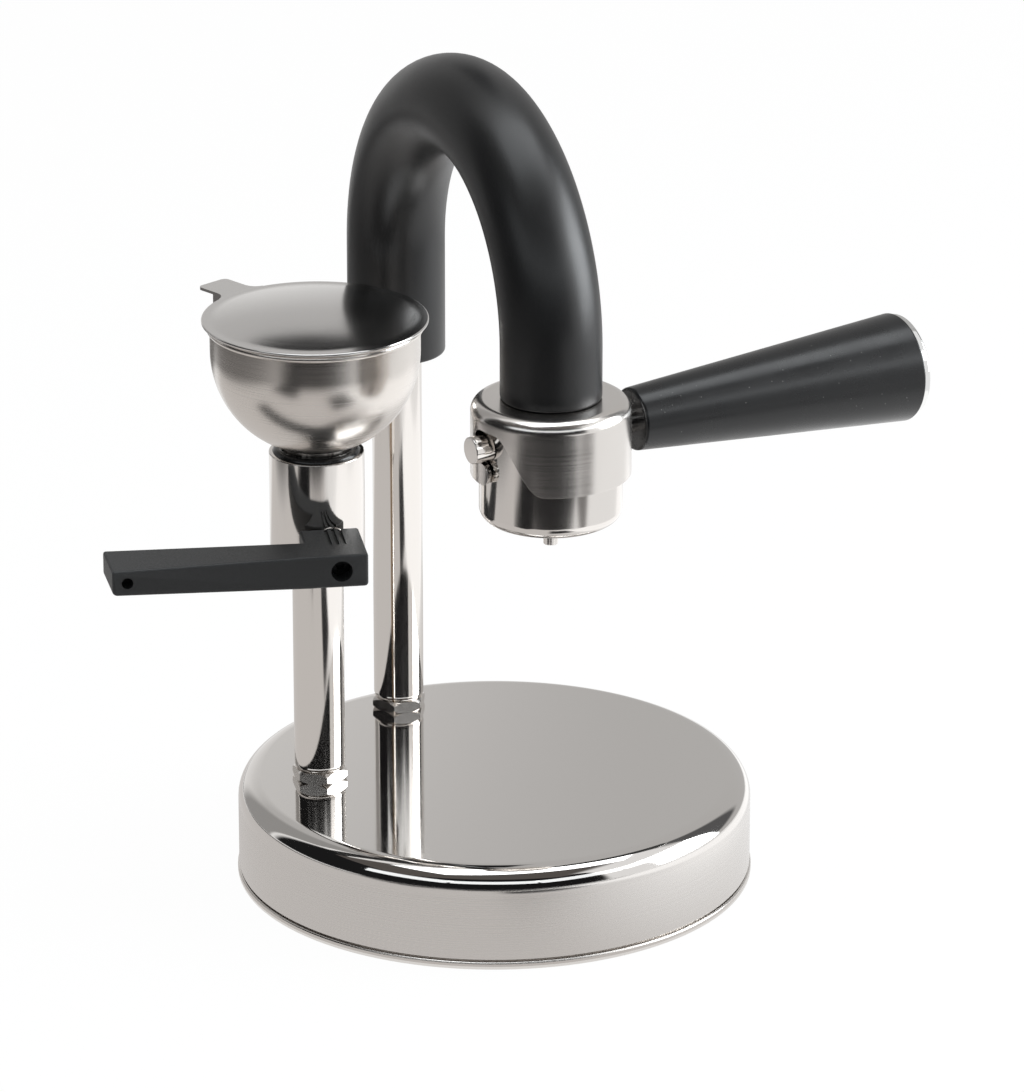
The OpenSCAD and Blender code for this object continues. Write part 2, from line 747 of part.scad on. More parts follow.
// End cap: a domed disc over the handle's wide end, with a spigot pressed into it
module handle_cap() {
    cap_r = cap_d / 2;
    flat_r = cap_r - cap_edge_r;
    dome = (flat_r * flat_r + cap_rise * cap_rise) / (2 * cap_rise);
    color(steel) at_handle() translate([0, 0, handle_at + handle_l]) union() {
        translate([0, 0, -cap_inset]) cylinder(d = cap_spigot_d, h = cap_inset + cap_t / 2);
        rotate_extrude() intersection() {
            square([cap_r, cap_t + cap_rise]);
            union() {
                cap_outline(cap_r, cap_t, cap_edge_r);
                intersection() {
                    translate([0, cap_t + cap_rise - dome]) circle(r = dome, $fn = 360);
                    square([flat_r, cap_t + cap_rise]);
                }
            }
        }
    }
}

// Filling tube, welded into the valve housing
module filler_tube() { at_filler() post(seat_z); }

// Valve housing: a wide tube with a tapered bottom, cross-drilled for the spindle's bush
module valve_housing() {
    color(steel) difference() {
        at_filler() rotate_extrude() polygon([
            [tube_r, housing_z], [tube_r + housing_wall, housing_z], [housing_r, housing_z + cone_h],
            [housing_r, housing_top], [housing_in_r, housing_top],
            [housing_in_r, housing_z + cone_h + weld_h / 2], [tube_r, seat_z]]);
        at_spindle() cylinder(d = bush_d, h = housing_r + cut);
    }
}

module valve_seat() {
    color(brass) at_filler() difference() {
        union() {
            translate([0, 0, seat_z - seat_spigot_h]) cylinder(r = bore_r, h = seat_spigot_h);
            translate([0, 0, seat_z]) cylinder(r = tube_r, h = seat_t);
        }
        translate([0, 0, seat_z - seat_spigot_h - cut])
            cylinder(d = seat_bore, h = seat_spigot_h + seat_t + 2 * cut);
    }
}

// Valve stem: the plug, a cross slot for the crank pin, and a guide for the spring and the retainer
module valve_stem() {
    slot_near = crank_r * cos(crank_rest) - crank_slot_r;
    slot_far = crank_r + crank_slot_r;
    color(brass) difference() {
        at_filler() union() {
            translate([0, 0, stem_z]) cylinder(r = stem_r, h = stem_top - stem_z);
            translate([0, 0, stem_top - cut]) cylinder(d = guide_d, h = guide_top - stem_top + cut);
        }
        at_lever() translate([slot_near, -stem_r - cut, crank_pin_z - spindle_z - crank_slot_r])
            cube([slot_far - slot_near, 2 * (stem_r + cut), 2 * crank_slot_r]);
    }
}

module plug_seal() {
    color(black_rubber) at_filler() translate([0, 0, plug_z]) cylinder(r = stem_r, h = plug_seal_t);
}

// Valve spring: one closed tube of wire along a helix around the stem's guide
spring_sides = 6;
spring_rings = 10;
spring_h = retainer_z - stem_top;
spring_pitch = (spring_h - spring_wire) / spring_turns;
function spring_point(t, k) =
    let (a = 360 * spring_turns * t, b = 360 * k / spring_sides, r = spring_r + spring_wire / 2 * cos(b))
    [r * cos(a), r * sin(a), spring_wire / 2 * sin(b) + spring_wire / 2 + spring_pitch * spring_turns * t];
module valve_spring() {
    n = round(spring_turns * spring_rings);
    last = n * spring_sides;
    points = [for (i = [0:n], k = [0:spring_sides - 1]) spring_point(i / n, k)];
    sides = [for (i = [0:n - 1], k = [0:spring_sides - 1])
        let (a = i * spring_sides + k, b = i * spring_sides + (k + 1) % spring_sides)
        each [[a, a + spring_sides, b], [b, a + spring_sides, b + spring_sides]]];
    start = [for (k = [1:spring_sides - 2]) [0, k, k + 1]];
    end = [for (k = [1:spring_sides - 2]) [last, last + k + 1, last + k]];
    color(steel) at_filler() translate([0, 0, stem_top]) polyhedron(points, concat(sides, start, end));
}

// Retainer plate: holds the spring's upper end, guides the stem and lets the water past
module spring_retainer() {
    color(brass) at_filler() translate([0, 0, retainer_z]) difference() {
        cylinder(r = housing_in_r, h = retainer_t);
        translate([0, 0, -cut]) cylinder(r = guide_d / 2 + run_gap, h = retainer_t + 2 * cut);
        for (i = [0:flow_count - 1]) rotate([0, 0, 360 * i / flow_count]) translate([flow_at, 0, -cut])
            cylinder(d = flow_d, h = retainer_t + 2 * cut);
    }
}

// Bush that carries the spindle, with a pocket for its sealing ring
module spindle_bush() {
    color(steel) at_spindle() difference() {
        pipe(bush_d / 2, spindle_r + run_gap, bush_z, bush_end);
        translate([0, 0, bush_end - 2 * oring_d])
            cylinder(r = spindle_r + run_gap + oring_d, h = oring_d);
    }
}

module spindle_oring() {
    color(black_rubber) at_spindle() translate([0, 0, bush_end - 1.5 * oring_d]) rotate_extrude()
        translate([spindle_r + run_gap + oring_d / 2, 0]) circle(d = oring_d);
}

// Spindle: shaft, crank web and crank pin in one piece, tapped for the lever's screw
module valve_spindle() {
    color(steel) difference() {
        at_spindle() union() {
            translate([0, 0, web_z]) cylinder(r = spindle_r, h = spindle_end - web_z);
            rotate([0, 0, -crank_rest]) union() {
                translate([0, 0, web_z]) cylinder(r = web_r, h = web_t);
                translate([crank_r, 0, web_z]) cylinder(r = web_pin_r, h = web_t);
                translate([0, -web_pin_r, web_z]) cube([crank_r, 2 * web_pin_r, web_t]);
                translate([crank_r, 0, -stem_r]) cylinder(r = crank_pin_r, h = stem_r + web_z + web_t / 2);
            }
        }
        at_spindle() translate([0, 0, spindle_end - screw_grip]) cylinder(d = screw_d, h = screw_grip + cut);
    }
}

// Lever: an L-shaped moulding, hub on the spindle and arm out to the left
module lever() {
    arm_y = hub_end - arm_root_w;
    grooves = 3;
    groove_w = 0.7;
    groove_h = 0.5;
    groove_l = 12;
    groove_pitch = 1.9;
    color(black_plastic) at_lever() difference() {
        intersection() {
            translate([0, 0, -hub_height / 2]) linear_extrude(height = hub_height) polygon([
                [-hub_back, hub_z], [hub_front, hub_z], [hub_front, arm_y], [lever_l, hub_end - arm_tip_w],
                [lever_l - arm_slant, hub_end], [-hub_back, hub_end]]);
            rotate([90, 0, 0]) translate([0, 0, -hub_end - cut]) linear_extrude(height = hub_depth + 2 * cut)
                polygon([
                    [-hub_back, -hub_height / 2], [hub_front, -hub_height / 2], [lever_l, -arm_tip_h / 2],
                    [lever_l, arm_tip_h / 2], [hub_front, hub_height / 2], [-hub_back, hub_height / 2]]);
        }
        rotate([-90, 0, 0]) {
            translate([0, 0, hub_z - cut]) cylinder(d = spindle_d, h = spindle_in + cut);
            translate([0, 0, spindle_end]) cylinder(d = screw_d + 2 * screw_gap, h = hub_end - spindle_end);
            translate([0, 0, screw_seat]) cylinder(d = screw_recess_d, h = screw_recess_h + cut);
            translate([lever_l - tip_hole_in, 0, hub_end - tip_hole_h])
                cylinder(d = tip_hole_d, h = tip_hole_h + cut);
        }
        for (i = [0:grooves - 1])
            translate([(i - (grooves - 1) / 2) * groove_pitch, hub_z - cut, hub_height / 2 - groove_h])
                translate([-groove_w / 2, 0, 0]) cube([groove_w, groove_l + cut, groove_h + cut]);
    }
}

// Socket screw that holds the lever on the spindle
module lever_screw() {
    socket_d = screw_head_d / 2;
    color(steel) at_spindle() difference() {
        union() {
            translate([0, 0, screw_seat]) cylinder(d = screw_head_d, h = screw_head_h);
            translate([0, 0, spindle_end - screw_grip])
                cylinder(d = screw_d, h = screw_grip + screw_seat - spindle_end + cut);
        }
        translate([0, 0, screw_seat + screw_head_h / 2]) cylinder(d = socket_d, h = screw_head_h, $fn = 6);
    }
}

// Rubber ring that seals the funnel's spout in the housing, with a round lip on top
module funnel_ring() {
    lip_r = ring_w / 2;
    color(black_rubber) at_filler() rotate_extrude() union() {
        translate([spigot_r, ring_z]) square([ring_w, housing_top + ring_lip - lip_r - ring_z]);
        translate([spigot_r + lip_r, housing_top + ring_lip - lip_r]) circle(r = lip_r);
    }
}

// Funnel bowl: spun sheet with a round bottom, a hole for the spout and a rolled bead at its rim
module funnel_bowl() {
    color(steel) at_filler() rotate_extrude() union() {
        difference() {
            union() {
                intersection() {
                    translate([0, bowl_z]) circle(r = bowl_r, $fn = 180);
                    translate([0, bowl_z - bowl_r]) square([bowl_r, bowl_r]);
                }
                translate([0, bowl_z]) square([bowl_r, bowl_wall_h - bead_r]);
            }
            intersection() {
                translate([0, bowl_z]) circle(r = bowl_in_r, $fn = 180);
                translate([0, bowl_z - bowl_r]) square([bowl_r, bowl_r + cut]);
            }
            translate([0, bowl_z]) square([bowl_in_r, bowl_wall_h]);
            translate([0, bowl_z - bowl_r - cut]) square([spigot_r, bowl_r + cut]);
        }
        translate([bowl_in_r + bead_r, rim_z - bead_r]) circle(r = bead_r);
    }
}

// Funnel spout: a short tube soldered into the bowl's hole, which stands in the rubber ring
module funnel_spout() {
    spout_top = bowl_z - sqrt(bowl_in_r * bowl_in_r - spigot_r * spigot_r);
    color(steel) at_filler() pipe(spigot_r, spigot_r - bowl_wall, spigot_z, spout_top);
}

// Hinge bracket: a curved plate on the bowl, with a strap out to a loop around the pin
module lid_bracket() {
    loop_r = loop_d / 2;
    plate_top = bracket_t - loop_r;
    color(steel) at_hinge() difference() {
        union() {
            intersection() {
                pipe(bowl_r + bracket_t, bowl_r, plate_top - bracket_h, plate_top);
                translate([0, -loop_l / 2, -2 * bracket_h]) cube([2 * bowl_r, loop_l, 4 * bracket_h]);
            }
            translate([bowl_r + bracket_t / 2, -loop_l / 2, -loop_r])
                cube([hinge_out + lid_over - bracket_t / 2, loop_l, bracket_t]);
            translate([hinge_at, -loop_l / 2, 0]) rotate([-90, 0, 0]) cylinder(r = loop_r, h = loop_l);
        }
        translate([hinge_at, -loop_l, 0]) rotate([-90, 0, 0]) cylinder(d = hinge_pin_d, h = 2 * loop_l);
    }
}

module lid_hinge_pin() {
    head_over = 0.4;
    head_r = hinge_pin_d / 2 + head_over;
    color(steel) at_hinge() translate([hinge_at, -pin_l / 2, 0]) rotate([-90, 0, 0]) union() {
        cylinder(d = hinge_pin_d, h = pin_l);
        translate([0, 0, -pin_head_t]) cylinder(r = head_r, h = pin_head_t);
        translate([0, 0, pin_l]) cylinder(r = head_r, h = pin_head_t);
    }
}

// Outline of the thumb tab, with rounded corners and a fillet on each side of its root
module tab_outline() {
    end_x = lid_r + tab_l;
    half_w = tab_w / 2;
    fillet_y = half_w + tab_fillet_r;
    fillet_x = sqrt(pow(lid_r + tab_fillet_r, 2) - fillet_y * fillet_y);
    difference() {
        union() {
            translate([dome_r / 2, -half_w]) square([end_x - tab_r - dome_r / 2, tab_w]);
            translate([end_x - 2 * tab_r, tab_r - half_w]) square([2 * tab_r, tab_w - 2 * tab_r]);
            for (y = [tab_r - half_w, half_w - tab_r]) translate([end_x - tab_r, y]) circle(r = tab_r);
            polygon([[0, 0], [fillet_x, -fillet_y], [fillet_x, fillet_y]]);
        }
        for (y = [-fillet_y, fillet_y]) translate([fillet_x, y]) circle(r = tab_fillet_r);
        circle(r = lid_r - lid_rim_w / 2);
    }
}

// Half outline of the lid: flat rim and shallow dome
module lid_outline() {
    intersection() {
        square([lid_r, lid_rise + lid_t]);
        union() {
            translate([dome_r - lid_t, 0]) square([lid_r - dome_r + lid_t, lid_t]);
            intersection() {
                square([dome_r, lid_rise + lid_t]);
                difference() {
                    translate([0, lid_rise + lid_t - dome_sphere_r]) circle(r = dome_sphere_r, $fn = 720);
                    translate([0, lid_rise - dome_sphere_r]) circle(r = dome_sphere_r, $fn = 720);
                }
            }
        }
    }
}

// Lid: the dome with its rim, the thumb tab, and an ear bent down on each side of the tab
module funnel_lid() {
    color(steel) difference() {
        union() {
            at_filler() translate([0, 0, lid_z]) rotate_extrude() lid_outline();
            at_hinge() translate([0, 0, hinge_drop]) linear_extrude(height = lid_t) tab_outline();
            at_hinge() for (y = [-tab_w / 2, ear_y]) translate([hinge_at, y, 0]) {
                rotate([-90, 0, 0]) cylinder(d = ear_d, h = lid_t);
                translate([-ear_d / 2, 0, 0]) cube([ear_d, lid_t, hinge_drop + lid_t / 2]);
            }
        }
        at_hinge() translate([hinge_at, -tab_w, 0]) rotate([-90, 0, 0])
            cylinder(r = hinge_pin_d / 2 + run_gap, h = 2 * tab_w);
    }
}

boiler_shell();
boiler_base();
riser_fitting();
riser_washer();
riser_locknut();
dip_tube();
filler_fitting();
filler_washer();
filler_locknut();
riser_tube();
neck_grip();
group_head();
group_seal();
shower_screen();
filter_cup();
filter_basket();
spout_tube();
bayonet_pin();
handle_stud();
handle();
handle_cap();
filler_tube();
valve_housing();
valve_seat();
valve_stem();
plug_seal();
valve_spring();
spring_retainer();
spindle_bush();
spindle_oring();
valve_spindle();
lever();
lever_screw();
funnel_ring();
funnel_bowl();
funnel_spout();
lid_bracket();
lid_hinge_pin();
funnel_lid();
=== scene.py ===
# Stovetop espresso maker: a flat boiler, a swan neck that ends in a brew group with a bayonet
# filter holder, and a filling post with a lever valve and a lidded funnel.
# Metres in Blender; the sizes below are millimetres, in the CAD model's own frame.
import math

import bmesh
import bpy
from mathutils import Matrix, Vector


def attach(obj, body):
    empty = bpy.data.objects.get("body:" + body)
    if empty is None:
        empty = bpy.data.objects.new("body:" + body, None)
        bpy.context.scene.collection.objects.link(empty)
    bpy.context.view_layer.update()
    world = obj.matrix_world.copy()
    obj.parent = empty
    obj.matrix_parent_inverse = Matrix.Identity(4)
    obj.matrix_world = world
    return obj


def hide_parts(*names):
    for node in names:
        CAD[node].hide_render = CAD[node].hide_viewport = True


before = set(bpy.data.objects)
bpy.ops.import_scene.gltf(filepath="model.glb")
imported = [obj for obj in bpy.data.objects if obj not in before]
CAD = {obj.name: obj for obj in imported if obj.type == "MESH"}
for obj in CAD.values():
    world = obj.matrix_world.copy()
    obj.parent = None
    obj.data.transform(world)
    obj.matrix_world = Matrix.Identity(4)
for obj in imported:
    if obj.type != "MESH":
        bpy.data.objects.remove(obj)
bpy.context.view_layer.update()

# Base plate
# The flat plate that stands on the hob, pressed from thick stainless sheet.
# Its upstand is pressed into the shell, and its thin rounded lip shows as a line at the foot.
MM = 0.001
PLATE_R, PLATE_T, LIP_R = 70.39, 2.2, 0.6
UPSTAND_OUT, UPSTAND_IN, UPSTAND_TOP = 68.5, 67.3, 7.2
WELD_LIMIT = 0.001
SMEAR_SIZE = 25
GRAIN_DEPTH = 0.004
GRAIN_SPREAD = 0.3


def rounded(corners, steps=8):
    """A closed outline in mm: a corner given as (across, up, radius) is drawn as an arc."""
    line = []
    for i, (x, y, *radius) in enumerate(corners):
        here = Vector((x, y))
        if not radius:
            line.append((x, y))
            continue
        back = (Vector(corners[i - 1][:2]) - here).normalized()
        on = (Vector(corners[(i + 1) % len(corners)][:2]) - here).normalized()
        half = back.angle(on) / 2
        centre = here + (back + on).normalized() * radius[0] / math.sin(half)
        start = here + back * radius[0] / math.tan(half) - centre
        end = here + on * radius[0] / math.tan(half) - centre
        first = math.atan2(start.y, start.x)
        sweep = math.remainder(math.atan2(end.y, end.x) - first, 2 * math.pi)
        for k in range(steps + 1):
            a = first + sweep * k / steps
            line.append((centre.x + radius[0] * math.cos(a), centre.y + radius[0] * math.sin(a)))
    return line


def draw(name, points):
    """Starts a piece in edit mode as a closed line through points in mm."""
    bpy.ops.object.select_all(action="DESELECT")
    bpy.ops.mesh.primitive_plane_add(size=MM, location=(0, 0, 0))
    piece = bpy.context.object
    piece.name = piece.data.name = name
    bpy.ops.object.mode_set(mode="EDIT")
    bpy.ops.mesh.merge(type="CENTER")
    bpy.ops.transform.translate(value=Vector(points[0]) * MM)
    for here, there in zip(points, points[1:]):
        step = (Vector(there) - Vector(here)) * MM
        bpy.ops.mesh.extrude_vertices_move(TRANSFORM_OT_translate={"value": step})
    mesh = bmesh.from_edit_mesh(piece.data)
    mesh.verts.ensure_lookup_table()
    mesh.verts[0].select = mesh.verts[len(points) - 1].select = True
    mesh.select_flush_mode()
    bmesh.update_edit_mesh(piece.data)
    bpy.ops.mesh.edge_face_add()
    bpy.ops.mesh.select_all(action="SELECT")
    return piece


def pick(piece):
    """Makes a piece the only one selected."""
    bpy.ops.object.select_all(action="DESELECT")
    piece.select_set(True)
    bpy.context.view_layer.objects.active = piece


def modify(piece, kind, **settings):
    """Adds a modifier with its settings to a piece and applies it."""
    pick(piece)
    bpy.ops.object.modifier_add(type=kind)
    for name, value in settings.items():
        setattr(piece.modifiers[-1], name, value)
    bpy.ops.object.modifier_apply(modifier=piece.modifiers[-1].name)


def shade(piece, sharp=35):
    """Shades a piece smooth, apart from edges that turn by more than sharp degrees."""
    pick(piece)
    bpy.ops.object.shade_smooth_by_angle(angle=math.radians(sharp))
    modify(piece, "WEIGHTED_NORMAL", keep_sharp=True)
    return piece


def turn(name, outline, centre=(0, 0), steps=128):
    """A turned piece: an outline of (radius, height) spun about an upright axis at centre."""
    piece = draw(name, [(centre[0] + r, centre[1], z) for r, z in outline])
    axis = (centre[0] * MM, centre[1] * MM, 0)
    bpy.ops.mesh.spin(steps=steps, angle=2 * math.pi, center=axis, axis=(0, 0, 1))
    bpy.ops.mesh.select_all(action="SELECT")
    bpy.ops.mesh.remove_doubles(threshold=WELD_LIMIT * MM)
    bpy.ops.mesh.delete_loose(use_verts=True, use_edges=True, use_faces=False)
    bpy.ops.mesh.select_all(action="SELECT")
    bpy.ops.mesh.normals_make_consistent(inside=False)
    bpy.ops.object.mode_set(mode="OBJECT")
    return shade(piece)


def linear(colour):
    """An sRGB hex colour as linear values."""
    parts = [int(colour[i:i + 2], 16) / 255 for i in (1, 3, 5)]
    return [c / 12.92 if c <= 0.04045 else ((c + 0.055) / 1.055) ** 2.4 for c in parts] + [1]


def add(tree, kind, wires, **settings):
    """Adds a node with its settings; wires gives each input a value or another node's output."""
    made = tree.nodes.new(kind)
    for name, value in settings.items():
        setattr(made, name, value)
    for socket, source in wires.items():
        if isinstance(source, bpy.types.NodeSocket):
            tree.links.new(source, made.inputs[socket])
        else:
            made.inputs[socket].default_value = source
    return made


def noise(tree, place, size, detail):
    """A cloudy pattern whose marks are about size mm wide."""
    return add(tree, "ShaderNodeTexNoise", {
        "Vector": place, "Scale": 1 / (size * MM), "Detail": detail}).outputs[0]


def vary(tree, pattern, low, high, span=(0.3, 0.7)):
    """A value that goes from low to high while a pattern goes through its span."""
    return add(tree, "ShaderNodeMapRange", {
        "Value": pattern, "From Min": span[0], "From Max": span[1],
        "To Min": low, "To Max": high}).outputs[0]


def relief(tree, pattern, strength, depth):
    """A surface that a pattern makes uneven by a depth in mm."""
    return add(tree, "ShaderNodeBump", {
        "Height": pattern, "Strength": strength, "Distance": depth * MM}).outputs[0]


def start_material(name, colour, metallic, roughness):
    """A plain material, with the place on the piece from which its patterns start."""
    material = bpy.data.materials.new(name)
    material.use_nodes = True
    tree = material.node_tree
    shader = tree.nodes["Principled BSDF"]
    shader.inputs["Base Color"].default_value = linear(colour)
    shader.inputs["Metallic"].default_value = metallic
    shader.inputs["Roughness"].default_value = roughness
    return material, tree, shader, add(tree, "ShaderNodeTexCoord", {}).outputs["Object"]


def wire(tree, shader, **sources):
    """Leads patterns to the shader's sockets, which are named with _ for a space."""
    for socket, source in sources.items():
        tree.links.new(source, shader.inputs[socket.replace("_", " ")])


def steel(name, colour, roughness, grain, lay, centre=(0, 0)):
    """Stainless steel with a fine grain of the given width in mm, so reflections streak along it.
    The grain runs round the piece where it was turned or spun, and along it where it was drawn.
    Real grain is a few hundredths of a millimetre wide: it is drawn coarser, so that it shows."""
    material, tree, shader, place = start_material(name, colour, 1, roughness)
    moved = add(tree, "ShaderNodeMapping", {
        "Vector": place, "Location": (-centre[0] * MM, -centre[1] * MM, 0)}).outputs[0]
    if lay == "round":
        flat = add(tree, "ShaderNodeVectorMath", {0: moved, 1: (1, 1, 0)}, operation="MULTIPLY")
        radius = add(tree, "ShaderNodeVectorMath", {0: flat.outputs[0]}, operation="LENGTH")
        parts = add(tree, "ShaderNodeSeparateXYZ", {0: moved})
        laid = add(tree, "ShaderNodeCombineXYZ", {
            "X": radius.outputs["Value"], "Z": parts.outputs["Z"]})
    else:
        stretch = (1, 1, 0.02)
        laid = add(tree, "ShaderNodeVectorMath", {0: moved, 1: stretch}, operation="MULTIPLY")
    lines = noise(tree, laid.outputs[0], grain, 3)
    smears = noise(tree, moved, SMEAR_SIZE, 2)
    both = add(tree, "ShaderNodeMath", {0: lines, 1: smears}, operation="ADD").outputs[0]
    wire(tree, shader,
         Roughness=vary(tree, both, roughness * (1 - GRAIN_SPREAD), roughness * (1 + GRAIN_SPREAD),
                        (0.6, 1.4)),
         Normal=relief(tree, lines, 0.5, GRAIN_DEPTH))
    return material


def fit(piece, material, body, slot, *nodes):
    """Gives a piece its material and its place on a CAD body, in the stead of CAD nodes."""
    piece.data.materials.append(material)
    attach(piece, body)
    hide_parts(*nodes)


# To the eye: dull, with soft reflections that fade along the rim.
pressed_steel = steel("pressed_stainless", "#d6d2ce", 0.24, 0.5, "round")
base_plate = turn("base_plate", rounded([
    (0, 0), (PLATE_R, 0, LIP_R), (PLATE_R, PLATE_T, LIP_R), (UPSTAND_OUT, PLATE_T),
    (UPSTAND_OUT, UPSTAND_TOP), (UPSTAND_IN, UPSTAND_TOP), (UPSTAND_IN, PLATE_T), (0, PLATE_T)]))
fit(base_plate, pressed_steel, "stand", "drawn_steel", "boiler_base")

# Boiler shell
# Deep-drawn stainless sheet with a rounded top edge, and a hole under each post's hexagon.
# The top is buffed to a mirror; the side keeps a satin with fine lines from the polishing belt.
BOILER_R, BOILER_TOP, BOILER_EDGE_R, SHEET = 70, 28, 6.4, 1.5
SHELL_FOOT, FOOT_EDGE_R = 2.7, 0.3
RISER = (-4.8, 54.2)
FILLER_OUT, FILLER_TURN = BOILER_R - 22.3, math.radians(160.5)
FILLER = FILLER_OUT * Vector((math.cos(FILLER_TURN), math.sin(FILLER_TURN)))
POST_HOLE_R = 4.7
MIRROR_LOW, SATIN_HIGH = 24, 20.5


def cylinder(radius, low, high, centre):
    """A plain upright bar in mm, as a cutter."""
    bpy.ops.object.select_all(action="DESELECT")
    bpy.ops.mesh.primitive_cylinder_add(
        vertices=48, radius=radius * MM, depth=(high - low) * MM,
        location=(centre[0] * MM, centre[1] * MM, (low + high) / 2 * MM))
    bpy.ops.object.transform_apply(location=True, rotation=True, scale=True)
    return bpy.context.object


def combine(piece, other, operation):
    """Cuts the other mesh out of a piece, or joins the two into one solid."""
    modify(piece, "BOOLEAN", operation=operation, object=other, solver="EXACT")
    bpy.data.objects.remove(other)


INSIDE_R, INSIDE_TOP = BOILER_R - SHEET, BOILER_TOP - SHEET
shell = turn("boiler_body", rounded([
    (0, BOILER_TOP), (0, INSIDE_TOP), (INSIDE_R, INSIDE_TOP, BOILER_EDGE_R - SHEET),
    (INSIDE_R, SHELL_FOOT), (BOILER_R, SHELL_FOOT, FOOT_EDGE_R),
    (BOILER_R, BOILER_TOP, BOILER_EDGE_R)], 12), steps=160)
for post in (RISER, FILLER):
    combine(shell, cylinder(POST_HOLE_R, BOILER_TOP - 8, BOILER_TOP + 2, post), "DIFFERENCE")
shade(shell)
# To the eye: a clear mirror above with faint smears, and a side that blurs what it mirrors into
# bands. The belt's lines are some hundredths of a millimetre wide, and are drawn coarser.
drawn_steel, tree, shader, place = start_material("drawn_stainless_mirror_top", "#dad7d4", 1, 0.06)
height = add(tree, "ShaderNodeSeparateXYZ", {0: place}).outputs["Z"]
side = vary(tree, height, 0, 1, (MIRROR_LOW * MM, SATIN_HIGH * MM))
belt = add(tree, "ShaderNodeCombineXYZ", {"Z": height})
belt_lines = noise(tree, belt.outputs[0], 0.4, 3)
smears = noise(tree, place, 30, 3)
satin = vary(tree, belt_lines, 0.22, 0.34)
mirror = vary(tree, smears, 0.03, 0.07)
wire(tree, shader,
     Roughness=add(tree, "ShaderNodeMix", {0: side, 2: mirror, 3: satin}).outputs[0],
     Normal=relief(tree, belt_lines, side, 0.001))
fit(shell, drawn_steel, "stand", "drawn_steel", "boiler_shell")

# Fittings, lock nuts, washers and dip tube
# Turned stainless fittings clamp the posts to the shell; rubber washers seal them inside it.
# Only the hexagons show. They are bright from the lathe.


def coat(material, *nodes):
    """Gives CAD nodes that stay in the model a finished material."""
    for name in nodes:
        for slot in CAD[name].material_slots:
            slot.material = material


# To the eye: bright flats with a faint turned ring grain.
turned_steel = steel("turned_stainless", "#dcd8d4", 0.16, 0.3, "round")
# To the eye: deep black with a soft gloss that is a little cloudy.
sealing_rubber, tree, shader, place = start_material("moulded_nitrile_rubber", "#0d0d0e", 0, 0.22)
wire(tree, shader, Roughness=vary(tree, noise(tree, place, 3, 4), 0.16, 0.3))
coat(turned_steel, "riser_fitting", "filler_fitting", "riser_locknut", "filler_locknut", "dip_tube")
coat(sealing_rubber, "riser_washer", "filler_washer")

# Riser tube
# Seam-welded stainless tube, polished along its length: up from the boiler, over the bend and down.
# Its lower end is rounded in to the hexagon, and the ground weld seam shows as a thin line.
TUBE_R, TUBE_WALL = 6.9, 0.95
TUBE_FOOT = [(6.2, 31.2), (6.5, 31.45), (6.75, 31.9), (6.88, 32.4), (TUBE_R, 32.8)]
TUBE_RINGS = (60, 90, 120, 140)
BEND_Z, BEND_R = 165.4, 50.45
NECK_END = 149.5
GROUP = (RISER[0], RISER[1] - 2 * BEND_R)
TUBE_COLOUR, SEAM_COLOUR = "#ddd9d5", "#a48f78"
SEAM_TURN = math.radians(52.2)
SEAM_FADE, SEAM_CORE = 0.35, 0.12


def bent_tube(name, rings, low_end, wall):
    """A tube up the riser, over the bend and down to low_end; rings gives (radius, height)."""
    bpy.ops.object.select_all(action="DESELECT")
    x, y = RISER[0] * MM, RISER[1] * MM
    bpy.ops.mesh.primitive_circle_add(
        vertices=64, radius=rings[0][0] * MM, location=(x, y, rings[0][1] * MM))
    bpy.ops.object.transform_apply(location=True, rotation=True, scale=True)
    piece = bpy.context.object
    piece.name = piece.data.name = name
    bpy.ops.object.mode_set(mode="EDIT")
    bpy.ops.mesh.select_all(action="SELECT")
    for (r, z), (next_r, next_z) in zip(rings, rings[1:]):
        rise = (0, 0, (next_z - z) * MM)
        bpy.ops.mesh.extrude_region_move(TRANSFORM_OT_translate={"value": rise})
        bpy.ops.transform.resize(value=(next_r / r, next_r / r, 1),
                                 center_override=(x, y, next_z * MM))
    bpy.ops.mesh.spin(steps=64, angle=-math.pi, center=(x, y - BEND_R * MM, BEND_Z * MM),
                      axis=(1, 0, 0))
    parts = 4
    drop = (0, 0, (low_end - BEND_Z) / parts * MM)
    for k in range(parts):
        bpy.ops.mesh.extrude_region_move(TRANSFORM_OT_translate={"value": drop})
    bpy.ops.mesh.select_all(action="SELECT")
    bpy.ops.mesh.remove_doubles(threshold=WELD_LIMIT * MM)
    bpy.ops.mesh.normals_make_consistent(inside=False)
    bpy.ops.object.mode_set(mode="OBJECT")
    modify(piece, "SOLIDIFY", thickness=wall * MM, offset=-1)
    return piece


riser = bent_tube("riser_pipe", TUBE_FOOT + [(TUBE_R, z) for z in (*TUBE_RINGS, BEND_Z)],
                  NECK_END, TUBE_WALL)
shade(riser)
# To the eye: a near mirror that draws reflections into upright streaks, with a brownish seam line.
# The seam is drawn a little wider than the real hairline, so that it shows.
riser_steel = steel("polished_tube_stainless", TUBE_COLOUR, 0.09, 0.25, "along", RISER)
tree = riser_steel.node_tree
shader = tree.nodes["Principled BSDF"]
place = add(tree, "ShaderNodeTexCoord", {})
from_axis = add(tree, "ShaderNodeMapping", {
    "Vector": place.outputs["Object"], "Location": (-RISER[0] * MM, -RISER[1] * MM, 0)}).outputs[0]
across = add(tree, "ShaderNodeVectorMath", {
    0: from_axis, 1: (math.sin(SEAM_TURN), -math.cos(SEAM_TURN), 0)}, operation="DOT_PRODUCT")
near = add(tree, "ShaderNodeVectorMath", {
    0: from_axis, 1: (-math.cos(SEAM_TURN), -math.sin(SEAM_TURN), 0)}, operation="DOT_PRODUCT")
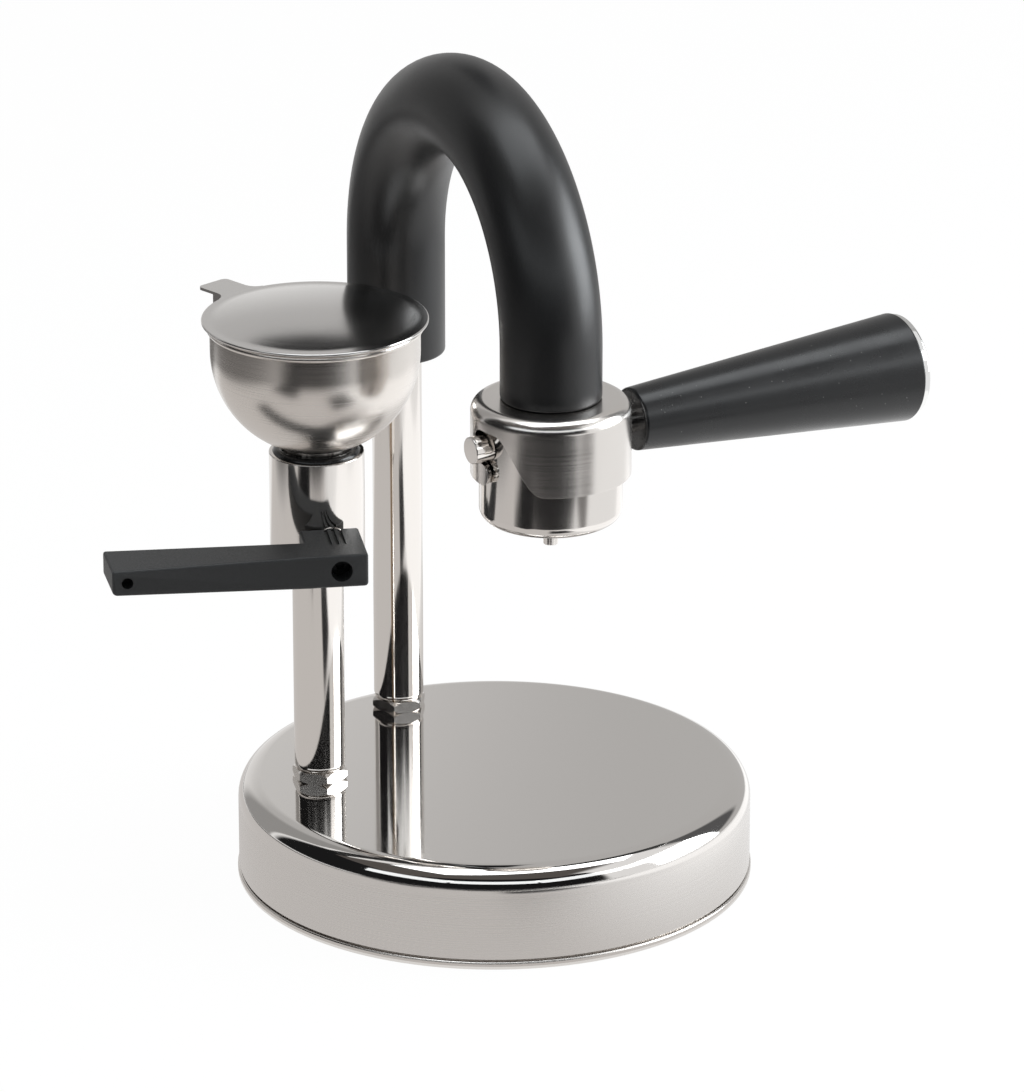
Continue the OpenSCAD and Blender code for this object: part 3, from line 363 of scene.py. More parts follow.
off = add(tree, "ShaderNodeMath", {0: across.outputs["Value"]}, operation="ABSOLUTE")
line = vary(tree, off.outputs[0], 0, 1, (SEAM_FADE * MM, SEAM_CORE * MM))
facing = add(tree, "ShaderNodeMath", {0: near.outputs["Value"], 1: 0}, operation="GREATER_THAN")
seam = add(tree, "ShaderNodeMath", {0: line, 1: facing.outputs[0]}, operation="MULTIPLY")
tint = add(tree, "ShaderNodeMix", {
    0: seam.outputs[0], 6: linear(TUBE_COLOUR), 7: linear(SEAM_COLOUR)}, data_type="RGBA")
wire(tree, shader, Base_Color=tint.outputs[2])
fit(riser, riser_steel, "stand", "polished_steel", "riser_tube")

# Neck grip
# A thick sleeve of black silicone rubber over the neck, so that it can be lifted while hot.
# Moulded satin, with a very fine grain and soft edges at both ends.
GRIP_R, GRIP_WALL, GRIP_EDGE_R = 13.4, 6.5, 1.0
GRIP_RINGS, GRIP_END = (133, 140, 148, 157), 152
grip = bent_tube("neck_sleeve", [(GRIP_R, z) for z in (*GRIP_RINGS, BEND_Z)], GRIP_END, GRIP_WALL)
modify(grip, "BEVEL", width=GRIP_EDGE_R * MM, segments=4, limit_method="ANGLE")
shade(grip)
# To the eye: black with broad soft highlights that break up very finely. The moulded grain is
# drawn coarser than it is.
grip_rubber, tree, shader, place = start_material("moulded_silicone_rubber", "#131314", 0, 0.36)
grain = noise(tree, place, 0.35, 2)
both = add(tree, "ShaderNodeMath", {0: grain, 1: noise(tree, place, 18, 3)}, operation="ADD")
wire(tree, shader,
     Roughness=vary(tree, both.outputs[0], 0.3, 0.42, (0.6, 1.4)),
     Normal=relief(tree, grain, 0.35, 0.03))
fit(grip, grip_rubber, "stand", "grip_rubber", "neck_grip")

# Brew group
# A turned and polished stainless cap with two bayonet slots milled through its skirt.
# It is pressed onto the neck's end; the rubber seal and the shower screen sit under its roof.
GROUP_R, GROUP_IN, GROUP_TOP, GROUP_EDGE_R = 21.1, 19.3, 152, 3.5
HANDLE_AZ = 5.5
SLOT_TOP, SLOT_LOW, SLOT_R = 146.6, 131.6, 4.0
PIN_Z, PIN_R = 141.5, 3.6
HOOK_R = 2.95
HOOK_AT = GROUP_R * math.radians(9) - HOOK_R
SLOT_SPAN, RAMP_SPAN, RAMP_STEPS = 54.5, 40, 16
SLOT_RIM_IN, SLOT_RIM_TOP, SLOT_RIM_R = 20.9, 148, 0.3


def arc(centre, radius, first, last, steps):
    """Points in mm on an arc, from one angle in degrees to another."""
    angles = [math.radians(first + (last - first) * k / steps) for k in range(steps + 1)]
    return [(centre[0] + radius * math.cos(a), centre[1] + radius * math.sin(a)) for a in angles]


def thicken(piece, way):
    """Fills a drawn line, pulls it out to a solid along way in mm and leaves edit mode."""
    bpy.ops.mesh.edge_face_add()
    bpy.ops.mesh.extrude_region_move(TRANSFORM_OT_translate={"value": Vector(way) * MM})
    bpy.ops.mesh.select_all(action="SELECT")
    bpy.ops.mesh.normals_make_consistent(inside=False)
    bpy.ops.object.mode_set(mode="OBJECT")
    return piece


def round_edges(piece, wanted, width, segments):
    """Rounds the edges of a piece in edit mode for which wanted is true, over a width in mm."""
    bpy.ops.mesh.select_mode(type="EDGE")
    bpy.ops.mesh.select_all(action="DESELECT")
    mesh = bmesh.from_edit_mesh(piece.data)
    for edge in mesh.edges:
        if wanted(edge):
            edge.select = True
    bmesh.update_edit_mesh(piece.data)
    bpy.ops.mesh.bevel(offset=width * MM, segments=segments, affect="EDGES", clamp_overlap=True)
    bpy.ops.mesh.select_mode(type="VERT")


def slot_rim(edge):
    """Whether an edge of the cap runs along a slot, on the outside."""
    outside = all((vert.co.xy / MM - Vector(GROUP)).length > SLOT_RIM_IN
                  and vert.co.z < SLOT_RIM_TOP * MM for vert in edge.verts)
    return outside and edge.calc_face_angle(0) > math.radians(40)


head = turn("group_cap", rounded([
    (TUBE_R, NECK_END), (GROUP_IN, NECK_END, 0.6), (GROUP_IN, SLOT_LOW), (GROUP_R, SLOT_LOW),
    (GROUP_R, GROUP_TOP, GROUP_EDGE_R), (TUBE_R, GROUP_TOP)], 10), GROUP)
ramp = []
for k in range(RAMP_STEPS + 1):
    share = k / RAMP_STEPS
    fall = (SLOT_TOP - SLOT_LOW) * (1 + math.cos(math.pi * share)) / 2
    ramp.append((GROUP_R * math.radians(SLOT_SPAN - RAMP_SPAN * share), SLOT_TOP - fall))
slot_line = (arc((0, SLOT_TOP - SLOT_R), SLOT_R, 90, 180, 8) + arc((0, PIN_Z), SLOT_R, 180, 270, 8)
             + arc((HOOK_AT, SLOT_LOW + HOOK_R), HOOK_R, 90, -90, 12)
             + [(HOOK_AT, SLOT_LOW - 1), (ramp[0][0], SLOT_LOW - 1)] + ramp)
half_span = math.radians(SLOT_SPAN / 2)
for opposite in (0, 180):
    middle = math.radians(HANDLE_AZ + opposite + SLOT_SPAN / 2)
    out = Vector((math.cos(middle), math.sin(middle), 0))
    along = Vector((-out.y, out.x, 0))
    cutter = draw("slot_cutter", [
        Vector((*GROUP, z)) + along * GROUP_R * math.sin(s / GROUP_R - half_span)
        for s, z in slot_line])
    combine(head, thicken(cutter, out * (GROUP_R + 1.9)), "DIFFERENCE")
bpy.ops.object.mode_set(mode="EDIT")
round_edges(head, slot_rim, SLOT_RIM_R, 3)
bpy.ops.object.mode_set(mode="OBJECT")
shade(head)
# To the eye: soft upright bands of light and dark, crossed by a faint ring grain.
group_steel = steel("polished_group_stainless", "#dcd8d4", 0.19, 0.3, "round", GROUP)
fit(head, group_steel, "stand", "polished_steel", "group_head")
coat(sealing_rubber, "group_seal")
coat(group_steel, "shower_screen")

# Filter holder's cup, basket and spout
# A drawn and polished cup carries the basket by its rim; a thin spout is soldered in below.
# The cup's bottom edge is widely rounded.
CUP_R, CUP_FOOT, CUP_TOP, CUP_EDGE_R, CUP_WALL = 18.9, 118.7, 146.8, 3.5, 1.2
CUP_IN, CUP_FLOOR = CUP_R - CUP_WALL, CUP_FOOT + CUP_WALL
SPOUT_R, SPOUT_BORE_R, SPOUT_LOW = 1.95, 1.2, 111.3
FLANGE_R, FLANGE_TOP = 3.75, 120.9
cup = turn("holder_cup", rounded([
    (SPOUT_R, CUP_FOOT), (CUP_R, CUP_FOOT, CUP_EDGE_R), (CUP_R, CUP_TOP, 0.3), (CUP_IN, CUP_TOP),
    (CUP_IN, CUP_FLOOR, CUP_EDGE_R - CUP_WALL), (SPOUT_R, CUP_FLOOR)], 12), GROUP)
# To the eye: clearer than the cap above it, so its bands are sharper.
cup_steel = steel("polished_cup_stainless", "#dcd8d4", 0.11, 0.3, "round", GROUP)
fit(cup, cup_steel, "filter_holder", "polished_steel", "filter_cup")
spout = turn("spout", rounded([
    (SPOUT_BORE_R, SPOUT_LOW), (SPOUT_R, SPOUT_LOW, 0.25), (SPOUT_R, CUP_FLOOR),
    (FLANGE_R, CUP_FLOOR), (FLANGE_R, FLANGE_TOP, 0.3), (SPOUT_BORE_R, FLANGE_TOP)]), GROUP, 48)
fit(spout, cup_steel, "filter_holder", "polished_steel", "spout_tube")
coat(cup_steel, "filter_basket")

# Bayonet pin and handle stud
# Turned stainless pins riveted through the cup's wall; the second one carries on into the handle.
# Both are polished, with a broken edge on the free pin's end.
RIVET_R = 2.4
PIN_END = 24.2
HANDLE_AT = 24.3
STUD_R, STUD_END = 3, 59.3


def move_to(piece, angles, at):
    """Turns a piece, moves it to a place in mm and makes that its own shape."""
    piece.rotation_euler = angles
    piece.location = Vector(at) * MM
    pick(piece)
    bpy.ops.object.transform_apply(location=True, rotation=True, scale=True)
    return piece


def lay_along_handle(piece, tilt=90):
    """Turns an upright piece at the origin to the handle's axis; a tilt of -90 faces it away."""
    return move_to(piece, (0, math.radians(tilt), math.radians(HANDLE_AZ)), (*GROUP, PIN_Z))


# To the eye: small clear mirrors that catch one sharp highlight.
pin_steel = steel("polished_pin_stainless", TUBE_COLOUR, 0.1, 0.3, "along", GROUP)
pin = turn("bayonet_stud", rounded([
    (0, CUP_IN), (RIVET_R, CUP_IN), (RIVET_R, CUP_R), (PIN_R, CUP_R), (PIN_R, PIN_END, 0.25),
    (0, PIN_END)]), steps=64)
fit(lay_along_handle(pin, -90), pin_steel, "filter_holder", "polished_steel", "bayonet_pin")
stud = turn("handle_bolt", rounded([
    (0, CUP_IN), (RIVET_R, CUP_IN), (RIVET_R, CUP_R), (PIN_R, CUP_R), (PIN_R, HANDLE_AT),
    (STUD_R, HANDLE_AT), (STUD_R, STUD_END, 0.5), (0, STUD_END)]), steps=64)
fit(lay_along_handle(stud), pin_steel, "filter_holder", "polished_steel", "handle_stud")

# Handle and its end cap
# A cone of black phenolic, moulded and buffed to a satin, screwed onto the stud.
# A chromed domed disc covers its wide end, held by a spigot pressed into the cone.
HANDLE_L, HANDLE_NARROW_R, HANDLE_WIDE_R, STUD_BORE = 83.2, 8.4, 14.7, 36
SPIGOT_R, SPIGOT_L = 4, 5
CAP_AT = HANDLE_AT + HANDLE_L
CAP_FLAT_R, CAP_EDGE_R, CAP_T, CAP_RISE = 13.49, 0.7, 1.8, 1.2
PHENOLIC_COLOUR, DUST_COLOUR = "#0b0c0e", "#6d6c6a"


def dome_of(edge_r, rise):
    """The radius of a shallow dome, and the angle in degrees from its top to its edge."""
    radius = (edge_r ** 2 + rise ** 2) / (2 * rise)
    return radius, math.degrees(math.asin(edge_r / radius))


spigot_at = HANDLE_L - SPIGOT_L
handle = turn("handle_cone", [(r, HANDLE_AT + z) for r, z in rounded([
    (STUD_R, 0), (HANDLE_NARROW_R, 0, 0.9), (HANDLE_WIDE_R, HANDLE_L, 0.6), (SPIGOT_R, HANDLE_L),
    (SPIGOT_R, spigot_at), (0, spigot_at), (0, STUD_BORE), (STUD_R, STUD_BORE)])], steps=96)
# To the eye: deep black with one long soft highlight, a little uneven, and a few specks of dust.
# The specks are drawn coarser than real dust, and the buffing marks too.
phenolic, tree, shader, place = start_material("moulded_black_phenolic", PHENOLIC_COLOUR, 0, 0.28)
shader.inputs["Specular IOR Level"].default_value = 0.42
specks = add(tree, "ShaderNodeTexVoronoi", {"Vector": place, "Scale": 1 / (2.6 * MM)})
dust = vary(tree, specks.outputs["Distance"], 0, 1, (0.06, 0.03))
dusty = add(tree, "ShaderNodeMix", {
    0: dust, 6: linear(PHENOLIC_COLOUR), 7: linear(DUST_COLOUR)}, data_type="RGBA")
wire(tree, shader,
     Base_Color=dusty.outputs[2],
     Roughness=vary(tree, noise(tree, place, 9, 4), 0.24, 0.32),
     Normal=relief(tree, noise(tree, place, 0.3, 2), 0.25, 0.02))
fit(lay_along_handle(handle), phenolic, "filter_holder", "handle_plastic", "handle")
cap_dome_r, cap_dome_edge = dome_of(CAP_FLAT_R, CAP_RISE)
cap = turn("handle_end_disc", [
    (0, CAP_AT - SPIGOT_L), (SPIGOT_R, CAP_AT - SPIGOT_L), (SPIGOT_R, CAP_AT),
    (CAP_FLAT_R + CAP_EDGE_R, CAP_AT)]
    + arc((CAP_FLAT_R, CAP_AT + CAP_T - CAP_EDGE_R), CAP_EDGE_R, 0, 80, 8)
    + arc((0, CAP_AT + CAP_T + CAP_RISE - cap_dome_r), cap_dome_r, 90 - cap_dome_edge, 90, 12),
    steps=96)
# To the eye: a cold, clear mirror beside the black cone.
chrome = steel("chrome_plate", "#dededd", 0.07, 0.4, "along")
fit(lay_along_handle(cap), chrome, "filter_holder", "cap_chrome", "handle_cap")

# Filling tube and valve housing
# A narrow polished tube welded into a wider one, which holds the valve and is cross-drilled for
# its spindle. The taper between them was ground and polished after welding.
POST_TOP, POST_BORE_R = 88.4, 5.9
HOUSING_R, HOUSING_IN, HOUSING_TOP = 12.8, 11.8, 122.7
TAPER_LOW_R, TAPER_LOW, TAPER_TOP, TAPER_IN_TOP = 7.9, 86.8, 91.4, 92.2
SPINDLE_TURN, SPINDLE_Z, SPINDLE_SHIFT = math.radians(164.5), 100.45, -2.2
SPINDLE_HOLE_R = 4.5
# To the eye: the riser's near mirror with upright streaks, without a seam line.
tube_steel = steel("polished_post_stainless", TUBE_COLOUR, 0.09, 0.25, "along", FILLER)
post = turn("filling_pipe", [(POST_BORE_R, TUBE_FOOT[0][1])] + TUBE_FOOT
            + [(TUBE_R, POST_TOP), (POST_BORE_R, POST_TOP)], FILLER, 96)
fit(post, tube_steel, "stand", "polished_steel", "filler_tube")
housing = turn("valve_body", rounded([
    (TUBE_R, TAPER_LOW), (TAPER_LOW_R, TAPER_LOW, 0.3), (HOUSING_R, TAPER_TOP, 2.5),
    (HOUSING_R, HOUSING_TOP, 0.3), (HOUSING_IN, HOUSING_TOP), (HOUSING_IN, TAPER_IN_TOP),
    (TUBE_R, POST_TOP)]), FILLER)


def lay_at_lever(piece):
    """Moves a piece from the lever's frame (arm along X, spindle out along Y) to its place."""
    arm_way = Vector((math.cos(SPINDLE_TURN), math.sin(SPINDLE_TURN)))
    return move_to(piece, (0, 0, SPINDLE_TURN), (*(FILLER + arm_way * SPINDLE_SHIFT), SPINDLE_Z))


def bar(radius, low, high, x=0, sides=48):
    """A plain bar along the lever's spindle direction, in mm, as a cutter."""
    bpy.ops.object.select_all(action="DESELECT")
    bpy.ops.mesh.primitive_cylinder_add(
        vertices=sides, radius=radius * MM, depth=(high - low) * MM,
        location=(x * MM, (low + high) / 2 * MM, 0), rotation=(math.radians(90), 0, 0))
    bpy.ops.object.transform_apply(location=True, rotation=True, scale=True)
    return bpy.context.object


combine(housing, lay_at_lever(bar(SPINDLE_HOLE_R, 0, 14)), "DIFFERENCE")
shade(housing)
fit(housing, tube_steel, "stand", "polished_steel", "valve_housing")

# Valve
# A turned brass plug with a rubber face; a crank on the lever's spindle lifts it, a spring shuts it.
# It sits inside the housing; only the spindle's neck shows behind the lever.
# To the eye: warm yellow metal, dulled by tool marks that are drawn coarser than real.
brass, tree, shader, place = start_material("turned_brass", "#c2a25a", 1, 0.28)
wire(tree, shader, Roughness=vary(tree, noise(tree, place, 0.5, 3), 0.2, 0.36))
coat(brass, "valve_seat", "valve_stem", "spring_retainer")
coat(sealing_rubber, "plug_seal", "spindle_oring")
coat(turned_steel, "valve_spring", "spindle_bush", "valve_spindle")

# Lever
# An L-shaped moulding in black glass-filled nylon, pushed on the spindle and held by a sunk screw.
# Dull with a fine moulded grain, a little paler along its edges; a small hole near the tip.
HUB_BACK, HUB_FRONT, HUB_IN, LEVER_OUT = -7.1, 8.8, 13.4, 33.8
ARM_IN = 22.6
TIP_IN, TIP_OUT = (61.8, 17.6), (60.9, LEVER_OUT)
LEVER_T, TIP_T = 9.1, 6.95
TIP_FROM, HUB_TO = 50, -6
LEVER_EDGE_R, TIP_EDGE_R, HUB_EDGE_R = 0.7, 1.3, 1
TIP_HOLE_X, TIP_HOLE_R = 56.9, 1.55
GROOVE_STEP, GROOVE_MIDDLE, GROOVE_SIZE = 1.9, 18.4, (0.9, 14, 1.5)
NYLON_COLOUR, EDGE_PALE_COLOUR = "#1f2021", "#38393b"
plan = [(HUB_BACK, HUB_IN), (HUB_FRONT, HUB_IN), (HUB_FRONT, ARM_IN), TIP_IN, TIP_OUT,
        (HUB_FRONT, LEVER_OUT), (HUB_BACK, LEVER_OUT)]
ARM_ROOT = (2, 5)
lever = draw("lever_arm", [(x, y, -LEVER_T / 2) for x, y in plan])
bpy.ops.mesh.edge_face_add()
bpy.ops.mesh.select_all(action="DESELECT")
mesh = bmesh.from_edit_mesh(lever.data)
mesh.verts.ensure_lookup_table()
for corner in ARM_ROOT:
    mesh.verts[corner].select = True
mesh.select_flush_mode()
bmesh.update_edit_mesh(lever.data)
bpy.ops.mesh.vert_connect_path()
bpy.ops.mesh.select_all(action="SELECT")
bpy.ops.mesh.extrude_region_move(TRANSFORM_OT_translate={"value": (0, 0, LEVER_T * MM)})
bpy.ops.mesh.select_all(action="DESELECT")
mesh = bmesh.from_edit_mesh(lever.data)
for vert in mesh.verts:
    vert.select = vert.co.x > TIP_FROM * MM
mesh.select_flush_mode()
bmesh.update_edit_mesh(lever.data)
bpy.ops.transform.resize(value=(1, 1, TIP_T / LEVER_T), center_override=(0, 0, 0))
round_edges(lever, lambda edge: all(v.co.x > TIP_FROM * MM and v.co.z < 0 for v in edge.verts),
            TIP_EDGE_R, 6)
round_edges(lever, lambda edge: all(v.co.x < HUB_TO * MM and v.co.z < 0 for v in edge.verts),
            HUB_EDGE_R, 6)
bpy.ops.mesh.select_all(action="SELECT")
bpy.ops.mesh.normals_make_consistent(inside=False)
bpy.ops.object.mode_set(mode="OBJECT")
modify(lever, "BEVEL", width=LEVER_EDGE_R * MM, segments=3, limit_method="ANGLE")
spindle_hole, screw_hole = bar(2.5, 12.4, 24.4), bar(1.6, 24, 27.2)
screw_sink, tip_hole = bar(2.85, 26.8, 34.8), bar(TIP_HOLE_R, 28.8, 34.8, TIP_HOLE_X)
for cutter in (spindle_hole, screw_hole, screw_sink, tip_hole):
    combine(lever, cutter, "DIFFERENCE")
for k in (-1, 0, 1):
    bpy.ops.object.select_all(action="DESELECT")
    bpy.ops.mesh.primitive_cube_add(
        size=1, location=Vector((GROOVE_STEP * k, GROOVE_MIDDLE, LEVER_T / 2)) * MM)
    bpy.context.object.scale = Vector(GROOVE_SIZE) * MM
    bpy.ops.object.transform_apply(location=True, rotation=True, scale=True)
    combine(lever, bpy.context.object, "DIFFERENCE")
shade(lay_at_lever(lever), 30)
# To the eye: a dull dark grey that catches little light, paler along its edges. The moulded grain
# is drawn coarser than it is.
nylon, tree, shader, place = start_material("moulded_glass_filled_nylon", NYLON_COLOUR, 0, 0.5)
grain = noise(tree, place, 0.4, 3)
shape = add(tree, "ShaderNodeNewGeometry", {})
# Paler where the surface bends sharply, along all its edges.
edge_share = vary(tree, shape.outputs["Pointiness"], 0, 1, (0.53, 0.62))
edge_tint = add(tree, "ShaderNodeMix", {
    0: edge_share, 6: linear(NYLON_COLOUR), 7: linear(EDGE_PALE_COLOUR)}, data_type="RGBA")
wire(tree, shader,
     Base_Color=edge_tint.outputs[2],
     Roughness=vary(tree, grain, 0.44, 0.58),
     Normal=relief(tree, grain, 0.4, 0.04))
fit(lever, nylon, "lever", "lever_plastic", "lever")
# To the eye: nearly black metal with a dull, slightly uneven sheen. The near-black is painted shade
# for the screw deep in its sunk hole.
screw_shade_steel, tree, shader, place = start_material("steel_darkened_as_painted_shade", "#2a2a2b", 1, 0.4)
wire(tree, shader, Roughness=vary(tree, noise(tree, place, 0.6, 3), 0.32, 0.5))
# The sunk screw is given near-black steel as painted shade for its deep hole.
coat(screw_shade_steel, "lever_screw")

# Funnel ring
# A moulded ring of black rubber with a glossy round lip.
# It is pressed into the housing's mouth and holds the funnel.
RING_LOW, FUNNEL_PIPE_R = 113.5, 9
RING_MIDDLE_R, RING_LIP_Z, RING_LIP_R = 10.4, 122.4, 1.4
lip = arc((RING_MIDDLE_R, RING_LIP_Z), RING_LIP_R, 0, 180, 14)
ring = turn("mouth_ring", [
    (FUNNEL_PIPE_R, RING_LOW), (HOUSING_IN, RING_LOW), (HOUSING_IN, RING_LIP_Z)] + lip[1:],
    FILLER, 96)
fit(ring, sealing_rubber, "stand", "seal_rubber", "funnel_ring")

# Funnel bowl and spout
# The bowl is spun from thin stainless sheet, left satin, with a bright rolled bead at its rim.
# A short tube is soldered in below and stands in the rubber ring.
BOWL_R, BOWL_IN, BOWL_Z = 28.1, 27.3, 151.2
BEAD_AT, BEAD_R, BEAD_LOW, BEAD_IN_LOW = (28.2, 158), 0.9, 157.15, 157.5
FUNNEL_PIPE_IN, FUNNEL_PIPE_LOW, FUNNEL_PIPE_TOP = 8.2, 113, 125.43
# To the eye: a pale satin whose reflections spread into soft rings.
spun_steel = steel("spun_stainless", "#d8d3ce", 0.24, 0.35, "round", FILLER)
hole_out, hole_in = (math.degrees(math.asin(FUNNEL_PIPE_R / r)) for r in (BOWL_R, BOWL_IN))
bowl = turn("funnel_cup", arc((0, BOWL_Z), BOWL_R, -90 + hole_out, 0, 24) + [(BOWL_R, BEAD_LOW)]
            + arc(BEAD_AT, BEAD_R, -100, 180, 14) + [(BOWL_IN, BEAD_IN_LOW)]
            + arc((0, BOWL_Z), BOWL_IN, 0, -90 + hole_in, 24), FILLER)
fit(bowl, spun_steel, "stand", "spun_steel", "funnel_bowl")
funnel_pipe = turn("funnel_pipe", [
    (FUNNEL_PIPE_IN, FUNNEL_PIPE_LOW), (FUNNEL_PIPE_R, FUNNEL_PIPE_LOW),
    (FUNNEL_PIPE_R, FUNNEL_PIPE_TOP), (FUNNEL_PIPE_IN, FUNNEL_PIPE_TOP)], FILLER, 96)
fit(funnel_pipe, spun_steel, "stand", "spun_steel", "funnel_spout")

# Lid hinge
# A bent stainless strap with a loop, and the plain pin on which the lid hangs.
# The strap is welded to the bowl; both keep the fittings' turned finish.
coat(turned_steel, "lid_bracket", "lid_hinge_pin")

# Lid
# A pressed stainless disc with a shallow polished dome and a flat rim, and a thumb tab drawn out of
# its edge. Two ears are bent down from the tab and hang on the hinge pin.
LID_Z, LID_R, LID_T, LID_EDGE_R, LID_FLAT_R = 159.3, 30.3, 0.8, 0.35, 28.5
DOME_EDGE, DOME_RISE = 27.5, 3
HINGE_R, HINGE_Z, HINGE_TURN = 32.9, 156.1, math.radians(110)
TAB_END, TAB_HALF, TAB_CORNER_R = 41, 5, 1.5
TAB_ROOT, TAB_FILLET_R, TAB_INSIDE = 33.1, 4, (27.8, 7.5)
EAR_R, EAR_PLACES, PIN_HOLE_R = 2, (-5, 4.2), 0.86
SHEET_GAP = 0.01
dome_r, dome_edge = dome_of(DOME_EDGE, DOME_RISE)
dome_low = LID_Z + DOME_RISE - dome_r
lid = turn("lid_disc", arc((0, dome_low + LID_T), dome_r, 90, 90 - dome_edge, 24)
           + rounded([(LID_FLAT_R, LID_Z + LID_T), (LID_R, LID_Z + LID_T, LID_EDGE_R),
                      (LID_R, LID_Z, LID_EDGE_R), (LID_FLAT_R, LID_Z)], 12)
           + arc((0, dome_low), dome_r, 90 - dome_edge, 90, 24), steps=160)
tab_half = (arc((TAB_END - TAB_CORNER_R, TAB_HALF - TAB_CORNER_R), TAB_CORNER_R, 0, 90, 6)
            + arc((TAB_ROOT, TAB_HALF + TAB_FILLET_R), TAB_FILLET_R, -90, -164.8, 8) + [TAB_INSIDE])
tab_line = tab_half + [(x, -y) for x, y in reversed(tab_half)]
tab = draw("lid_tab", [(x, y, LID_Z + SHEET_GAP) for x, y in tab_line])
combine(lid, thicken(tab, (0, 0, LID_T - 2 * SHEET_GAP)), "UNION")
ear_top = LID_Z + LID_T / 2
ear_line = ([(HINGE_R - EAR_R, ear_top)] + arc((HINGE_R, HINGE_Z), EAR_R, 180, 360, 12)
            + [(HINGE_R + EAR_R, ear_top)])
for y in EAR_PLACES:
    ear = draw("lid_ear", [(x, y + SHEET_GAP / 2, z) for x, z in ear_line])
    combine(lid, thicken(ear, (0, LID_T - SHEET_GAP, 0)), "UNION")
pin_hole = move_to(bar(PIN_HOLE_R, -8, 8, HINGE_R, 32), (0, 0, 0), (0, 0, HINGE_Z))
combine(lid, pin_hole, "DIFFERENCE")
shade(move_to(lid, (0, 0, HINGE_TURN), (*FILLER, 0)), 9)
# To the eye: a bright dome that fades softly from white to grey, with a faint ring grain.
lid_steel = steel("polished_lid_stainless", "#d9d7d5", 0.17, 0.3, "round", FILLER)
fit(lid, lid_steel, "lid", "spun_steel", "funnel_lid")

# Floor
# A plain pale sweep of paper under the object.
# It is white to the eye and in reflections, and keeps a soft shadow.
FLOOR_R, FLOOR_GAP = 4000, 0.02
WHITE = (1, 1, 1, 1)


def seen_ray(tree):
    """1 for what the eye sees directly, mirrored or through glass, and 0 for light on its way."""
    ray = add(tree, "ShaderNodeLightPath", {})
    seen = ray.outputs["Is Camera Ray"]
    for other in ("Is Glossy Ray", "Is Transmission Ray"):
        seen = add(tree, "ShaderNodeMath", {0: seen, 1: ray.outputs[other]},
                   operation="MAXIMUM").outputs[0]
    return seen


bpy.ops.object.select_all(action="DESELECT")
bpy.ops.mesh.primitive_circle_add(vertices=64, radius=FLOOR_R * MM, fill_type="NGON",
                                  location=(0, 0, -FLOOR_GAP * MM))
floor = bpy.context.object
floor.name = "floor"
paper = bpy.data.materials.new("white_paper")
paper.use_nodes = True
tree = paper.node_tree
tree.nodes.clear()
share = add(tree, "ShaderNodeMath", {0: seen_ray(tree), 1: 0.97}, operation="MULTIPLY")
sheet = add(tree, "ShaderNodeBsdfDiffuse", {"Color": linear("#f2f2f2")})
glow = add(tree, "ShaderNodeEmission", {"Color": WHITE, "Strength": 1})
mix = add(tree, "ShaderNodeMixShader", {
    0: share.outputs[0], 1: sheet.outputs[0], 2: glow.outputs[0]})
add(tree, "ShaderNodeOutputMaterial", {"Surface": mix.outputs[0]})
floor.data.materials.append(paper)

# Studio cards
# Grey, black and white cards around the set, which polished steel needs to show its form; only
# gloss sees them. Places are right of the lens, towards it and up, in mm from the boiler's foot.
RIGHT = Vector((0.910, -0.4147, 0))
FRONT = Vector((-0.4147, -0.910, 0))
UP = Vector((0, 0, 1))


def card(name, colour, right, front, up, fade, strength=1.0, ramp=()):
    """A flat card between two limits along two directions, at one place along the third. Its edges
    fade out over the given shares of its sides; ramp gives (height share, grey) up the card."""
    bpy.ops.object.select_all(action="DESELECT")
    bpy.ops.mesh.primitive_plane_add(size=1, location=(0, 0, 0))
    piece = bpy.context.object
    piece.name = name
    spans = ((RIGHT, right), (FRONT, front), (UP, up))
    limits = [(way, span) for way, span in spans if len(span) == 2]
    level = sum((way * span[0] for way, span in spans if len(span) == 1), Vector())
    for vert in piece.data.vertices:
        shares = (vert.co.x + 0.5, vert.co.y + 0.5)
        reach = (way * (low + (high - low) * share)
                 for (way, (low, high)), share in zip(limits, shares))
        vert.co = MM * (level + sum(reach, Vector()))
    material = bpy.data.materials.new(name)
    material.use_nodes = True
    tree = material.node_tree
    tree.nodes.clear()
    place = add(tree, "ShaderNodeTexCoord", {}).outputs["UV"]
    glow = add(tree, "ShaderNodeEmission", {"Color": linear(colour), "Strength": strength})
    if ramp:
        share = add(tree, "ShaderNodeSeparateXYZ", {0: place})
        greys = add(tree, "ShaderNodeValToRGB", {0: share.outputs["Y"]})
        for at, grey in ramp[1:-1]:
            greys.color_ramp.elements.new(at)
        for stop, (at, grey) in zip(greys.color_ramp.elements, ramp):
            stop.position, stop.color = at, linear(grey)
        tree.links.new(greys.outputs[0], glow.inputs["Color"])
    from_middle = add(tree, "ShaderNodeVectorMath", {0: place, 1: (0.5, 0.5, 0)},
                      operation="SUBTRACT")
    off = add(tree, "ShaderNodeVectorMath", {0: from_middle.outputs[0]}, operation="ABSOLUTE")
    parts = add(tree, "ShaderNodeSeparateXYZ", {0: off.outputs[0]})
    inside = [add(tree, "ShaderNodeMapRange", {
        "Value": parts.outputs[axis], "From Min": 0.5, "From Max": 0.5 - width},
        interpolation_type="SMOOTHSTEP").outputs[0] for axis, width in zip("XY", fade)]
    solid = add(tree, "ShaderNodeMath", {0: inside[0], 1: inside[1]}, operation="MULTIPLY")
    clear = add(tree, "ShaderNodeBsdfTransparent", {})
    mix = add(tree, "ShaderNodeMixShader", {
        0: solid.outputs[0], 1: clear.outputs[0], 2: glow.outputs[0]})
    add(tree, "ShaderNodeOutputMaterial", {"Surface": mix.outputs[0]})
    piece.data.materials.append(material)
    piece.visible_camera = piece.visible_diffuse = piece.visible_shadow = False
    piece.visible_transmission = piece.visible_volume_scatter = False


